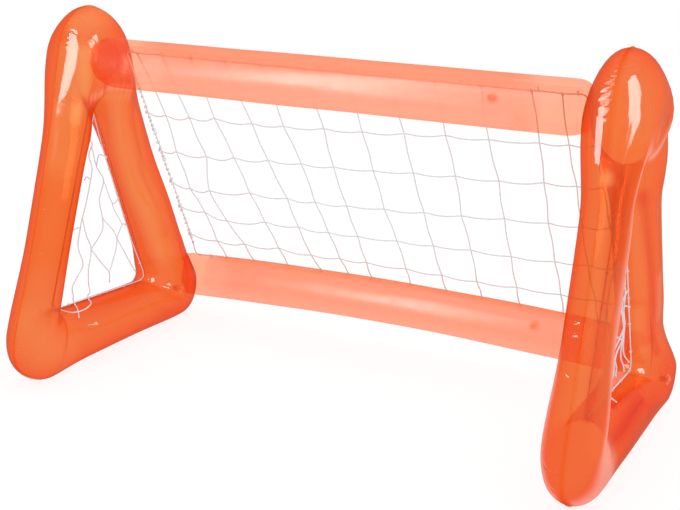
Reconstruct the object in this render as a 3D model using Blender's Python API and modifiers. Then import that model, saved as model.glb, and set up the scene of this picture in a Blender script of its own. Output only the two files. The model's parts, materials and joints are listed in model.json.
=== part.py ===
"""Inflatable soccer goal: two triangular end frames of welded film, a crossbar and a
rear bar welded between them, a cord net behind and one in each end frame, and an
inflation valve on each of the four air chambers.

Metres, +Z up. X runs across the goal, -Y is the open mouth, +Y the back.
The origin is the middle of the footprint, on the floor.
"""

import math

import bmesh
import bpy
from mathutils import Matrix, Vector
from mathutils.bvhtree import BVHTree

# ---------------------------------------------------------------- driving dimensions
FRAME_SPACING = 1.254          # between the mid planes of the two end frames
TOE = 0.043                    # radians each frame is turned, so that the mouth splays
FILM = 0.00035                 # thickness of the film
GAP = 0.0003                   # between pieces that touch
FIN = 0.0045                   # width of the weld fin outside each seam
PATCH = 0.0015                 # how far the standing lobes are pressed flat

# End frame, side view (y, z): centre and radius of each rounded corner of the outer
# seam, and half of the inflated thickness there.
APEX = dict(y=0.0070, z=0.7228, r=0.0953, half=0.0725)
FRONT = dict(y=-0.2292, r=0.0888, half=0.0585)
REAR = dict(y=0.2444, r=0.0750, half=0.0717)
WAIST = (0.0102, 0.0075, 0.0079)     # how far the front, bottom and rear edges pull in
WAIST_RUN = ((0.32, 0.35), (0.30, 0.29), (0.34, 0.30))  # share of an edge each end of that takes
BOW = (0.0, 0.0, 0.0026)             # how far an edge swells out again in its middle
LEG_HALF = (0.0493, 0.0667, 0.0478)  # half thickness of the front leg, foot tube, rear leg
LOBE_RUN = (0.30, 0.32, 0.16)        # share of an edge over which each lobe's swell dies out
# Corners of the inner seam round the triangular hole, with their radii.
HOLE = ((-0.0002, 0.5926, 0.009), (-0.1709, 0.1630, 0.0186), (0.1302, 0.1351, 0.0195))

# Bars across the goal: axis (y, z) at the ends, radius.
CROSSBAR = dict(y=-0.0227, z=0.7049, r=0.0531)
REAR_BAR = dict(y=0.2570, z=0.1070, r=0.0510)
NECK, NECK_RUN = 0.0045, 0.045 # a bar narrows to its weld, and over what length
REAR_BAR_RISE = 0.027          # the net's pull bows the middle of the rear bar up
BAR_SIDES = 24

# Nets
CORD = 0.0024                  # net cord
ROPE_R = 0.0019                # border rope radius
CELLS_ACROSS, CELLS_DOWN = 13, 6
STRIP_UP, STRIP_DOWN, STRIP_THICK = 0.004, 0.012, 0.0007
EYELET_R = 0.0022

# Valves (lengths along the valve's own axis, 0 at the film), with the stem pushed in
VALVE_FRAME_YZ = (0.1950, 0.0900)   # on the +X face of each end frame
VALVE_BAR_X = 0.350                 # on the back of each bar
VALVE_BAR_ANGLE = math.radians(-12)  # from straight back, negative is down
BASE_R, BASE_TOP = 0.0120, 0.0010
SLEEVE_IN, SLEEVE_OUT, SLEEVE_LOW = 0.0062, 0.0070, -0.0160
STEM_R, STEM_TOP, STEM_LOW = 0.0059, 0.0040, -0.0135
BORE_R = 0.0030
PLUG_R, PLUG_THICK = 0.0056, 0.0012
PEG_LENGTH, PEG_R, PEG_TIP_R = 0.0042, 0.0026, 0.0017
HINGE_R = 0.0092               # plug hinge, from the valve's axis
FLAP_R, FLAP_THICK = 0.0045, 0.0005
FILM_HOLE_R = 0.0076


# ---------------------------------------------------------------- scene and helpers
for old in list(bpy.data.objects):
    bpy.data.objects.remove(old, do_unlink=True)

GOAL = bpy.data.collections.new("inflatable_soccer_goal")
CUTTERS = bpy.data.collections.new("cutters")
bpy.context.scene.collection.children.link(GOAL)
bpy.context.scene.collection.children.link(CUTTERS)

LOOKS = {
    "frame_film": ((0.93, 0.26, 0.07, 0.72), 0.16),
    "bar_film": ((0.98, 0.50, 0.34, 0.62), 0.18),
    "valve_vinyl": ((0.96, 0.42, 0.20, 1.0), 0.30),
    "net_cord": ((0.86, 0.86, 0.85, 1.0), 0.75),
}


def material(name, look):
    colour, rough = LOOKS[look]
    m = bpy.data.materials.new(name)
    m.use_nodes = True
    shader = m.node_tree.nodes["Principled BSDF"]
    shader.inputs["Base Color"].default_value = colour[:3] + (1.0,)
    shader.inputs["Roughness"].default_value = rough
    shader.inputs["Metallic"].default_value = 0.0
    shader.inputs["Alpha"].default_value = colour[3]
    return m


def as_part(obj, name, look, smooth=True):
    obj.name = name
    obj.data.name = name
    for c in list(obj.users_collection):
        c.objects.unlink(obj)
    GOAL.objects.link(obj)
    obj.data.materials.clear()
    obj.data.materials.append(material(name, look))
    if smooth and obj.type == "MESH":
        obj.data.shade_smooth()
        obj.data.set_sharp_from_angle(angle=math.radians(40))
    return obj


def as_cutter(obj, name):
    obj.name = name
    for c in list(obj.users_collection):
        c.objects.unlink(obj)
    CUTTERS.objects.link(obj)
    obj.hide_render = True
    obj.display_type = "WIRE"
    return obj


def new_object(name, mesh):
    obj = bpy.data.objects.new(name, mesh)
    bpy.context.scene.collection.objects.link(obj)
    return obj


def from_bmesh(name, bm):
    mesh = bpy.data.meshes.new(name)
    bm.to_mesh(mesh)
    bm.free()
    return new_object(name, mesh)


def boolean(obj, other, operation):
    mod = obj.modifiers.new(f"{operation.lower()}_{other.name}", "BOOLEAN")
    mod.operation = operation
    mod.solver = "EXACT"
    mod.object = other
    return mod


def axis_matrix(point, axis, across=None):
    """Local Z along axis, local X as near as it can be to across, at point."""
    z = Vector(axis).normalized()
    x = Vector(across) if across is not None else Vector((0, 0, 1))
    x = (x - z * x.dot(z)).normalized()
    y = z.cross(x)
    m = Matrix((x, y, z)).transposed().to_4x4()
    m.translation = Vector(point)
    return m


# ---------------------------------------------------------------- end frame outlines
def ease(t):
    t = min(1.0, max(0.0, t))
    return t * t * (3 - 2 * t)


def tangent_normals(centres, radii):
    """Outward normal of the straight line that touches each circle and the next."""
    out = []
    for i, c in enumerate(centres):
        d = centres[(i + 1) % 3] - c
        length = d.length
        u = d / length
        side = Vector((u.y, -u.x))
        k = (radii[i] - radii[(i + 1) % 3]) / length
        out.append(u * k + side * math.sqrt(1 - k * k))
    return out


ARCS = ([i / 9 for i in range(9)], [0, 0.2, 0.4, 0.6, 0.78, 0.91], [0, 0.09, 0.24, 0.42, 0.61, 0.8])
EDGES = (
    [0, 0.12, 0.3, 0.5, 0.7, 0.88],
    [0, 0.05, 0.14, 0.3, 0.5, 0.7, 0.86, 0.95],
    [0, 0.12, 0.3, 0.5, 0.7, 0.88],
)


def rounded_triangle(corners, waists, arcs=ARCS, edges=EDGES):
    """Points round a triangle with rounded corners: each corner's arc, then the edge
    to the next corner, pulled in by its waist. corners are (y, z, radius)."""
    centres = [Vector((c[0], c[1])) for c in corners]
    radii = [c[2] for c in corners]
    normals = tangent_normals(centres, radii)
    points = []
    for k in range(3):
        n0, n1 = normals[k - 1], normals[k]
        a0 = math.atan2(n0.y, n0.x)
        turn = math.atan2(n1.y, n1.x) - a0
        while turn > math.pi:
            turn -= 2 * math.pi
        while turn < -math.pi:
            turn += 2 * math.pi
        for t in arcs[k]:
            a = a0 + turn * t
            points.append(centres[k] + Vector((math.cos(a), math.sin(a))) * radii[k])
        start = centres[k] + n1 * radii[k]
        end = centres[(k + 1) % 3] + n1 * radii[(k + 1) % 3]
        for t in edges[k]:
            dip = waists[k] * ease(t / WAIST_RUN[k][0]) * ease((1 - t) / WAIST_RUN[k][1])
            points.append(start.lerp(end, t) - n1 * (dip - BOW[k] * 4 * t * (1 - t)))
    return points


OUTER_CORNERS = (
    (APEX["y"], APEX["z"], APEX["r"]),
    (FRONT["y"], FRONT["r"] - PATCH, FRONT["r"]),
    (REAR["y"], REAR["r"] - PATCH, REAR["r"]),
)
raw = rounded_triangle(OUTER_CORNERS, WAIST)
MIDDLE_Y = (min(p.x for p in raw) + max(p.x for p in raw)) / 2


def centred(corners):
    return tuple((y - MIDDLE_Y, z, r) for y, z, r in corners)


OUTER = rounded_triangle(centred(OUTER_CORNERS), WAIST)
INNER = rounded_triangle(centred(HOLE), (0, 0, 0))


def half_thicknesses():
    lobes = (APEX["half"], FRONT["half"], REAR["half"])
    out = []
    for k in range(3):
        out += [lobes[k]] * len(ARCS[k])
        for t in EDGES[k]:
            w0 = 1 - ease(t / LOBE_RUN[k])
            w1 = 1 - ease((1 - t) / LOBE_RUN[(k + 1) % 3])
            out.append(LEG_HALF[k] * (1 - w0 - w1) + lobes[k] * w0 + lobes[(k + 1) % 3] * w1)
    return out


HALF = half_thicknesses()
RINGS = len(OUTER)
ANGLES = [math.radians(a) for a in (0, 12, 34, 60, 90, 120, 150, 180)]


def ring(i):
    """Middle, outward direction and half width of ring i of the frame, in (y, z)."""
    outward = OUTER[i] - INNER[i]
    return (OUTER[i] + INNER[i]) / 2, outward.normalized(), outward.length / 2


def join_loops(bm, loops, turn):
    """Skins a closed row of closed loops with triangles. The diagonals run the other
    way from index turn on, so that the inside of a wall matches its outside."""
    for i in range(len(loops)):
        one, two = loops[i], loops[(i + 1) % len(loops)]
        n = len(one)
        for k in range(n):
            m = (k + 1) % n
            if k < turn:
                bm.faces.new((one[k], one[m], two[m]))
                bm.faces.new((one[k], two[m], two[k]))
            else:
                bm.faces.new((one[k], one[m], two[k]))
                bm.faces.new((one[m], two[m], two[k]))
    bmesh.ops.recalc_face_normals(bm, faces=bm.faces)


LEFT, RIGHT = -FRAME_SPACING / 2, FRAME_SPACING / 2


def frame_place(x_mid):
    """Where an end frame stands: its own mid plane is local X = 0."""
    return Matrix.Translation((x_mid, 0, 0)) @ Matrix.Rotation(math.copysign(TOE, x_mid), 4, "Z")


def pressed(z, low):
    """Height of a point of the film, pressed flat where it comes down to the floor."""
    return low if z < low + 0.0007 else z


def panel(name, x_mid, side):
    """One of the two film sheets of an end frame: half of every ring, from the fin of
    the outer seam over the swell to the fin of the inner seam, FILM thick."""
    bm = bmesh.new()
    near, far = GAP / 2, GAP / 2 + FILM
    loops = []
    for i in range(RINGS):
        mid, e, a = ring(i)
        b = HALF[i]
        tip = mid + e * (a + FIN)
        lost = max(0.0, -tip.y)          # fin pressed against the floor
        profile = [(far, pressed(tip.y, 0.0), tip.x)]
        for k, t in enumerate(ANGLES):
            p = mid + e * (a * math.cos(t))
            x = far + (b - far) * math.sin(t)
            if k == 0:
                x += min(lost, FIN * 0.9)
            profile.append((x, pressed(p.y, 0.0), p.x))
        q = mid - e * (a + FIN)
        profile.append((far, q.y, q.x))
        profile.append((near, q.y, q.x))
        for t in reversed(ANGLES):
            p = mid + e * ((a - FILM) * math.cos(t))
            profile.append((near + (b - FILM - near) * math.sin(t), pressed(p.y, FILM), p.x))
        profile.append((near, pressed(tip.y, 0.0), tip.x))
        loops.append([bm.verts.new((side * x, y, z)) for x, z, y in profile])
    join_loops(bm, loops, len(ANGLES) + 2)
    obj = from_bmesh(name, bm)
    obj.matrix_world = frame_place(x_mid)
    return obj


def frame_solid(name, x_mid, grow):
    """The whole inflated end frame as one closed ring, grown by a clearance."""
    bm = bmesh.new()
    loops = []
    sections = [t for t in ANGLES] + [-t for t in reversed(ANGLES[1:-1])]
    for i in range(RINGS):
        mid, e, a = ring(i)
        loops.append([])
        for t in sections:
            p = mid + e * ((a + grow) * math.cos(t))
            loops[-1].append(bm.verts.new(((HALF[i] + grow) * math.sin(t), p.x, p.y)))
    join_loops(bm, loops, len(ANGLES) - 1)
    obj = as_cutter(from_bmesh(name, bm), name)
    obj.matrix_world = frame_place(x_mid)
    return obj


FRAME_CUTTERS = {
    LEFT: frame_solid("left_frame_cutter", LEFT, GAP * 1.2),
    RIGHT: frame_solid("right_frame_cutter", RIGHT, GAP * 1.2),
}

left_inner = panel("left_frame_inner_panel", LEFT, 1)
left_outer = panel("left_frame_outer_panel", LEFT, -1)
right_inner = panel("right_frame_inner_panel", RIGHT, -1)
right_outer = panel("right_frame_outer_panel", RIGHT, 1)
for p in (left_inner, left_outer, right_inner, right_outer):
    as_part(p, p.name, "frame_film")


# ---------------------------------------------------------------- bars
CROSS_AXIS = Vector((CROSSBAR["y"] - MIDDLE_Y, CROSSBAR["z"]))
REAR_AXIS = Vector((REAR_BAR["y"] - MIDDLE_Y, REAR_BAR["z"]))
NET_UP = (CROSS_AXIS - REAR_AXIS).normalized()        # up the slope of the back net
NET_OUT = Vector((NET_UP.y, -NET_UP.x))               # out of its back, (y, z)


def rear_axis(x):
    s = 1 - (x / (FRAME_SPACING / 2)) ** 2
    return REAR_AXIS + NET_UP * (REAR_BAR_RISE * s)


def cross_axis(x):
    return CROSS_AXIS


def bar_surface(axis, radius, stations, cap):
    """Round tube along X, radius(x) wide; open film sleeve, or a closed solid if cap."""
    bm = bmesh.new()
    rings_ = []
    for x in stations:
        c, r = axis(x), radius(x)
        rings_.append(
            [
                bm.verts.new(
                    (
                        x,
                        c.x + r * math.cos(2 * math.pi * k / BAR_SIDES),
                        c.y + r * math.sin(2 * math.pi * k / BAR_SIDES),
                    )
                )
                for k in range(BAR_SIDES)
            ]
        )
    for one, two in zip(rings_, rings_[1:]):
        for k in range(BAR_SIDES):
            bm.faces.new((one[k], two[k], two[(k + 1) % BAR_SIDES], one[(k + 1) % BAR_SIDES]))
    if cap:
        bm.faces.new(rings_[0])
        bm.faces.new(list(reversed(rings_[-1])))
        bmesh.ops.recalc_face_normals(bm, faces=bm.faces)
    return bm


def facing_out(bm, axis):
    """Turns an open sleeve's faces away from its axis."""
    bm.normal_update()
    f = next(iter(bm.faces))
    m = f.calc_center_median()
    c = axis(m.x)
    if f.normal.dot(Vector((0, m.y - c.x, m.z - c.y))) < 0:
        bmesh.ops.reverse_faces(bm, faces=bm.faces)


def necked(r, weld_x):
    """Radius of a bar along X: r, less NECK where it is welded to the end frame."""
    return lambda x: r - NECK * ease(1 - (weld_x - abs(x)) / NECK_RUN)


def mirrored(xs):
    return [-x for x in reversed(xs) if x > 0] + list(xs)


def bar(name, axis, radius, stations, disc_x):
    bm = bar_surface(axis, radius, stations, False)
    facing_out(bm, axis)
    sleeve = from_bmesh(name, bm)
    as_part(sleeve, name, "bar_film")
    wall = sleeve.modifiers.new("film", "SOLIDIFY")
    wall.thickness = FILM
    wall.offset = -1
    wall.use_even_offset = True
    for cutter in FRAME_CUTTERS.values():
        boolean(sleeve, cutter, "DIFFERENCE")
    for side, end in ((-1, "left"), (1, "right")):
        c = axis(side * disc_x)
        bpy.ops.mesh.primitive_cylinder_add(
            vertices=BAR_SIDES, radius=radius(disc_x) - FILM - GAP * 1.5, depth=FILM
        )
        disc = bpy.context.object
        # the cylinder's first corner turned to the bar's first corner, so that the
        # flats line up
        disc.matrix_world = axis_matrix((side * disc_x, c.x, c.y), (1, 0, 0), (0, 0, 1))
        as_part(disc, f"{name.replace('_sleeve', '')}_{end}_end_disc", "bar_film", smooth=False)
    return sleeve


def bar_end(y, half):
    """Where a bar at y meets an end frame's inner face: the face's own x, and the
    frame's mid plane there."""
    middle = FRAME_SPACING / 2 - math.sin(TOE) * y
    return middle - half, middle


CROSS_WELD, CROSS_MID = bar_end(CROSS_AXIS.x, APEX["half"])
REAR_WELD, REAR_MID = bar_end(REAR_AXIS.x, REAR["half"])
cross_radius = necked(CROSSBAR["r"], CROSS_WELD)
rear_radius = necked(REAR_BAR["r"], REAR_WELD)
NECK_STATIONS = (1.0, 0.72, 0.5, 0.28, 0.0)

crossbar = bar(
    "crossbar_sleeve",
    cross_axis,
    cross_radius,
    mirrored(
        [0, 0.25, CROSS_WELD - 2 * NECK_RUN]
        + [CROSS_WELD - NECK_RUN * f for f in NECK_STATIONS]
        + [CROSS_MID - 0.034]
    ),
    CROSS_WELD - 0.0040,
)
rear_bar = bar(
    "rear_bar_sleeve",
    rear_axis,
    rear_radius,
    mirrored(
        [0, 0.11, 0.22, 0.33, 0.43, REAR_WELD - NECK_RUN]
        + [REAR_WELD - NECK_RUN * f for f in NECK_STATIONS[1:]]
        + [REAR_MID - 0.010]
    ),
    REAR_WELD - 0.0045,
)


# ---------------------------------------------------------------- valves
def turned(name, profile, steps=20):
    """A closed turned solid. profile is (radius, height) down the outer side."""
    bm = bmesh.new()
    verts = [bm.verts.new((r, 0, z)) for r, z in profile]
    on_axis = profile[0][0] == 0 and profile[-1][0] == 0
    for p, q in zip(verts, verts[1:]):
        bm.edges.new((p, q))
    if not on_axis:
        bm.edges.new((verts[-1], verts[0]))
    obj = from_bmesh(name, bm)
    screw = obj.modifiers.new("turn", "SCREW")
    screw.axis = "Z"
    screw.angle = 2 * math.pi
    screw.steps = steps
    screw.render_steps = steps
    screw.use_merge_vertices = True
    screw.merge_threshold = 0.00001
    screw.use_smooth_shade = True
    return obj


def block(name, low, high):
    bm = bmesh.new()
    bmesh.ops.create_cube(bm, size=1.0)
    low, high = Vector(low), Vector(high)
    for v in bm.verts:
        v.co = Vector(
            tuple((low[i] + high[i]) / 2 + v.co[i] * (high[i] - low[i]) for i in range(3))
        )
    return from_bmesh(name, bm)


JOINTS = {}


def valve(prefix, point, axis, across, film_parts, film_cutter):
    """Base welded on the film, a stem that pushes in, a plug on a strap, and the flap
    that closes the stem from inside. across points from the axis to the plug's hinge."""
    place = axis_matrix(point, axis, across)

    hole = turned(f"{prefix}_hole", [(0, 0.006), (FILM_HOLE_R, 0.006), (FILM_HOLE_R, -0.014), (0, -0.014)])
    hole.matrix_world = place
    as_cutter(hole, f"{prefix}_hole")
    for film in film_parts:
        boolean(film, hole, "DIFFERENCE")

    sleeve = turned(
        f"{prefix}_guide",
        [
            (SLEEVE_IN + 0.0003, BASE_TOP + 0.0004),
            (SLEEVE_OUT, BASE_TOP + 0.0004),
            (SLEEVE_OUT, SLEEVE_LOW),
            (SLEEVE_IN, SLEEVE_LOW),
            (SLEEVE_IN, BASE_TOP),
        ],
    )
    sleeve.matrix_world = place
    as_cutter(sleeve, f"{prefix}_guide")
    base = turned(
        f"{prefix}_base",
        [
            (SLEEVE_IN + 0.0004, BASE_TOP),
            (BASE_R - 0.0006, BASE_TOP),
            (BASE_R, BASE_TOP - 0.0005),
            (BASE_R, -0.004),
            (SLEEVE_IN + 0.0004, -0.004),
        ],
    )
    base.matrix_world = place
    as_part(base, f"{prefix}_base", "valve_vinyl", smooth=False)
    boolean(base, film_cutter, "DIFFERENCE")
    boolean(base, sleeve, "UNION")

    stem = turned(
        f"{prefix}_stem",
        [
            (BORE_R, STEM_TOP),
            (STEM_R, STEM_TOP),
            (STEM_R, STEM_LOW),
            (BORE_R, STEM_LOW),
        ],
    )
    ear = block(
        f"{prefix}_ear",
        (STEM_R - 0.0010, -0.0018, STEM_TOP - 0.0016),
        (HINGE_R + 0.0006, 0.0018, STEM_TOP - 0.0004),
    )
    ear.matrix_world = place
    as_cutter(ear, f"{prefix}_ear")
    stem.matrix_world = place
    as_part(stem, f"{prefix}_stem", "valve_vinyl", smooth=False)
    boolean(stem, ear, "UNION")

    low = STEM_TOP + GAP
    hinge = place @ Matrix.Translation((HINGE_R, 0, low + 0.0005))
    plug = turned(
        f"{prefix}_plug",
        [
            (0, low + PLUG_THICK),
            (PLUG_R - 0.0004, low + PLUG_THICK),
            (PLUG_R, low + PLUG_THICK - 0.0004),
            (PLUG_R, low),
            (PEG_R, low),
            (PEG_TIP_R, low - PEG_LENGTH),
            (0, low - PEG_LENGTH),
        ],
    )
    strap = block(
        f"{prefix}_strap", (PLUG_R - 0.0012, -0.0016, low + 0.0001), (HINGE_R + 0.0005, 0.0016, low + 0.0009)
    )
    # the plug's own origin lies on its hinge
    shift = Matrix.Translation((-HINGE_R, 0, -(low + 0.0005)))
    plug.data.transform(shift)
    strap.data.transform(shift)
    screw = plug.modifiers["turn"]
    centre = bpy.data.objects.new(f"{prefix}_plug_centre", None)
    CUTTERS.objects.link(centre)
    centre.matrix_world = place @ Matrix.Translation((0, 0, 0))
    screw.object = centre
    plug.matrix_world = hinge
    strap.matrix_world = hinge
    as_cutter(strap, f"{prefix}_strap")
    as_part(plug, f"{prefix}_plug", "valve_vinyl", smooth=False)
    boolean(plug, strap, "UNION")

    flap_top = STEM_LOW - GAP
    bm = bmesh.new()
    bmesh.ops.create_cone(
        bm, cap_ends=True, segments=16, radius1=FLAP_R, radius2=FLAP_R, depth=FLAP_THICK
    )
    # the flap's origin lies on its hinge, at the rim and level with its top
    bmesh.ops.translate(bm, verts=bm.verts, vec=(-FLAP_R - 0.0001, 0, -FLAP_THICK / 2))
    flap = from_bmesh(f"{prefix}_flap", bm)
    flap.matrix_world = place @ Matrix.Translation((FLAP_R + 0.0001, 0, flap_top))
    as_part(flap, f"{prefix}_flap", "valve_vinyl", smooth=False)

    JOINTS[prefix] = (
        place.translation.copy(),
        place.col[2].to_3d(),
        hinge.translation.copy(),
        place.col[1].to_3d(),
        flap.matrix_world.translation.copy(),
    )


def on_frame(x_mid, yz):
    """Point and outward direction of the +X face of an end frame at its own (y, z)."""
    solid = FRAME_CUTTERS[x_mid]
    tree = BVHTree.FromPolygons(
        [v.co.copy() for v in solid.data.vertices], [tuple(p.vertices) for p in solid.data.polygons]
    )
    hit, normal, _, _ = tree.ray_cast(Vector((0.3, yz[0], yz[1])), Vector((-1, 0, 0)))
    if normal.x < 0:
        normal = -normal
    place = frame_place(x_mid)
    return place @ (hit - normal * GAP), place.to_3x3() @ normal


for x_mid, prefix, film in (
    (LEFT, "left_frame_valve", left_inner),
    (RIGHT, "right_frame_valve", right_outer),
):
    at, out = on_frame(x_mid, (VALVE_FRAME_YZ[0] - MIDDLE_Y, VALVE_FRAME_YZ[1]))
    valve(prefix, at, out, (0, -1, 0.6), [film], FRAME_CUTTERS[x_mid])

for prefix, sleeve, axis, radius in (
    ("crossbar_valve", crossbar, cross_axis, CROSSBAR["r"]),
    ("rear_bar_valve", rear_bar, rear_axis, REAR_BAR["r"]),
):
    grown = radius + GAP * 1.2
    stations = [VALVE_BAR_X - 0.04, VALVE_BAR_X, VALVE_BAR_X + 0.04]
    solid = as_cutter(
        from_bmesh(f"{prefix}_bar", bar_surface(axis, lambda x: grown, stations, True)),
        f"{prefix}_bar",
    )
    out = Vector((0, math.cos(VALVE_BAR_ANGLE), math.sin(VALVE_BAR_ANGLE)))
    c = axis(VALVE_BAR_X)
    at = Vector((VALVE_BAR_X, c.x, c.y)) + out * (radius * math.cos(math.pi / BAR_SIDES) + 0.0002)
    valve(prefix, at, out, (-1, 0, 0), [sleeve], solid)


# ---------------------------------------------------------------- nets
def flat_shape(name, loops, thick, place, look):
    """A flat outline with holes, extruded to both sides of its own plane."""
    curve = bpy.data.curves.new(name, "CURVE")
    curve.dimensions = "2D"
    curve.fill_mode = "BOTH"
    curve.extrude = thick / 2
    curve.resolution_u = 1
    curve.render_resolution_u = 0
    for loop in loops:
        spline = curve.splines.new("POLY")
        spline.points.add(len(loop) - 1)
        for point, (u, v) in zip(spline.points, loop):
            point.co = (u, v, 0, 1)
        spline.use_cyclic_u = True
    obj = new_object(name, curve)
    obj.matrix_world = place
    return as_part(obj, name, look)


def rope(name, points, radius):
    curve = bpy.data.curves.new(name, "CURVE")
    curve.dimensions = "3D"
    curve.bevel_depth = radius
    curve.bevel_resolution = 1
    curve.resolution_u = 1
    curve.render_resolution_u = 0
    spline = curve.splines.new("POLY")
    spline.points.add(len(points) - 1)
    for point, p in zip(spline.points, points):
        point.co = (p[0], p[1], p[2], 1)
    spline.use_cyclic_u = True
    return as_part(new_object(name, curve), name, "net_cord")


def clipped(polygon, inside):
    """The part of a convex polygon inside a convex region of (point, inward) lines."""
    for origin, inward in inside:
        kept = []
        for a, b in zip(polygon, polygon[1:] + polygon[:1]):
            da, db = (a - origin).dot(inward), (b - origin).dot(inward)
            if da >= 0:
                kept.append(a)
            if (da >= 0) != (db >= 0):
                kept.append(a.lerp(b, da / (da - db)))
        polygon = kept
        if len(polygon) < 3:
            return []
    return polygon


def area(polygon):
    return 0.5 * sum(a.x * b.y - a.y * b.x for a, b in zip(polygon, polygon[1:] + polygon[:1]))


def lines_of(polygon, inset):
    """Inward lines of a convex polygon, moved in by inset."""
    sign = 1 if area(polygon) > 0 else -1
    out = []
    for a, b in zip(polygon, polygon[1:] + polygon[:1]):
        d = (b - a).normalized()
        inward = Vector((-d.y, d.x)) * sign
        out.append((a + inward * inset, inward))
    return out


def meshes_in(outline, cells, inset):
    """Cells of a net, each clipped to the outline and drawn in by half a cord."""
    holes = []
    edge = lines_of(outline, inset)
    for cell in cells:
        hole = clipped(cell, edge)
        if len(hole) > 2 and abs(area(hole)) > 2.5e-5:
            kept = []
            for p in hole:
                if not kept or (p - kept[-1]).length > 0.0008:
                    kept.append(p)
            if (kept[0] - kept[-1]).length < 0.0008:
                kept.pop()
            if len(kept) > 2:
                holes.append(kept)
    return holes


def along(x):
    """Lower end of the back net's slope at x, measured from the rear bar's end axis."""
    return (rear_axis(x) - REAR_AXIS).dot(NET_UP)


SLOPE = (CROSS_AXIS - REAR_AXIS).length
NET_DEEP = max(CROSSBAR["r"], REAR_BAR["r"]) + GAP + STRIP_THICK / 2 + 0.0003
# The net's own plane: local X across the goal, local Y up the slope from the rear
# bar's axis at its ends, local Z out of the back.
NET_PLACE = axis_matrix(
    (
        0,
        REAR_AXIS.x + NET_OUT.x * NET_DEEP,
        REAR_AXIS.y + NET_OUT.y * NET_DEEP,
    ),
    (0, NET_OUT.x, NET_OUT.y),
    (1, 0, 0),
)
if NET_PLACE.col[1].to_3d().dot(Vector((0, NET_UP.x, NET_UP.y))) < 0:
    NET_PLACE = NET_PLACE @ Matrix.Rotation(math.pi, 4, "Z")


def round_hole(u, v, r, n=6):
    return [Vector((u + r * math.cos(2 * math.pi * k / n), v + r * math.sin(2 * math.pi * k / n))) for k in range(n)]


NET_TOP_X = FRAME_SPACING / 2 - APEX["half"] - 0.016
NET_LOW_X = REAR_MID - LEG_HALF[2] - 0.008


def strip(name, at, sign, half_length):
    """Film strip along a bar's back, with the eyelets that the border is laced to.
    at(x) is the height on the slope; sign is +1 where the net lies above."""
    n = 12
    xs = [half_length * (2 * k / n - 1) for k in range(n + 1)]
    edge = [Vector((x, at(x) - sign * STRIP_UP)) for x in xs]
    other = [Vector((x, at(x) + sign * STRIP_DOWN)) for x in reversed(xs)]
    holes = []
    for k in range(CELLS_ACROSS + 1):
        x = (half_length - 0.012) * (2 * k / CELLS_ACROSS - 1)
        holes.append(round_hole(x, at(x) + sign * (STRIP_DOWN - 0.005), EYELET_R))
    return flat_shape(name, [edge + other] + holes, STRIP_THICK, NET_PLACE, "bar_film")


strip("crossbar_net_strip", lambda x: SLOPE, -1, NET_TOP_X - 0.004)
strip("rear_bar_net_strip", along, 1, NET_LOW_X - 0.026)

ROPE_OFF = STRIP_DOWN + GAP + ROPE_R
NET_OFF = ROPE_OFF + ROPE_R + GAP + CORD


def slope_x(v):
    """Half width of the back net's border at height v on the slope."""
    t = v / SLOPE
    return NET_LOW_X + (NET_TOP_X - NET_LOW_X) * t


def back_outline(off, side_off, n=10):
    top = SLOPE - off
    out = []
    xs = [slope_x(0.03) * (2 * k / n - 1) for k in range(n + 1)]
    for k, x in enumerate(xs):
        v = along(x) + off
        reach = slope_x(v) - side_off
        out.append(Vector((max(-reach, min(reach, x)), v)))
    out.append(Vector((slope_x(top) - side_off, top)))
    out.append(Vector((-slope_x(top) + side_off, top)))
    return out


def lift(points):
    return [NET_PLACE @ Vector((p.x, p.y, 0)) for p in points]


rope("back_net_border", lift(back_outline(ROPE_OFF, 0.0, 10)), ROPE_R)

NET_TOP = SLOPE - NET_OFF


def net_point(s, t):
    """Point of the back net: s from -1 to 1 across it, t from 0 to 1 up the slope."""
    low = along(s * slope_x(0)) + NET_OFF
    v = low + (NET_TOP - low) * t
    return Vector((s * (slope_x(v) - ROPE_R - GAP - CORD), v))


bm = bmesh.new()
knots = [
    [
        bm.verts.new((*net_point(2 * col / CELLS_ACROSS - 1, row / CELLS_DOWN), 0))
        for col in range(CELLS_ACROSS + 1)
    ]
    for row in range(CELLS_DOWN + 1)
]
for below, above in zip(knots, knots[1:]):
    for k in range(CELLS_ACROSS):
        bm.faces.new((below[k], below[k + 1], above[k + 1], above[k]))
back_net = from_bmesh("back_net", bm)
back_net.matrix_world = NET_PLACE
cords = back_net.modifiers.new("cords", "WIREFRAME")
cords.thickness = CORD
cords.use_even_offset = True
cords.use_relative_offset = False
cords.use_boundary = True
as_part(back_net, "back_net", "net_cord", smooth=False)


def shrunk(corners, by):
    """The hole's rounded triangle drawn in by a distance."""
    normals = tangent_normals([Vector((c[0], c[1])) for c in corners], [c[2] for c in corners])
    sides = []
    for k in range(3):
        p = Vector((corners[k][0], corners[k][1])) + normals[k] * (corners[k][2] - by)
        sides.append((p, normals[k]))
    out = []
    for k in range(3):
        (p, n), (q, m) = sides[k - 1], sides[k]
        # where the two moved sides cross
        det = n.x * m.y - n.y * m.x
        c, d = n.dot(p), m.dot(q)
        out.append(Vector(((c * m.y - d * n.y) / det, (n.x * d - m.x * c) / det)))
    return out


def eased_corners(triangle, cut, steps=3):
    """A triangle with each corner rounded off, as a list of points."""
    out = []
    for k in range(3):
        p, a, b = triangle[k], triangle[k - 1], triangle[(k + 1) % 3]
        start, end = p + (a - p).normalized() * cut, p + (b - p).normalized() * cut
        for i in range(steps + 1):
            t = i / steps
            out.append(start * (1 - t) ** 2 + p * (2 * t * (1 - t)) + end * t ** 2)
        middle = [end.lerp(b + (p - b).normalized() * cut, f) for f in (1 / 3, 2 / 3)]
        out += middle
    return out


SIDE_PLACE = Matrix(((0, 0, 1, 0), (1, 0, 0, 0), (0, 1, 0, 0), (0, 0, 0, 1)))
DIAMOND_W, DIAMOND_H = 0.060, 0.105

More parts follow.
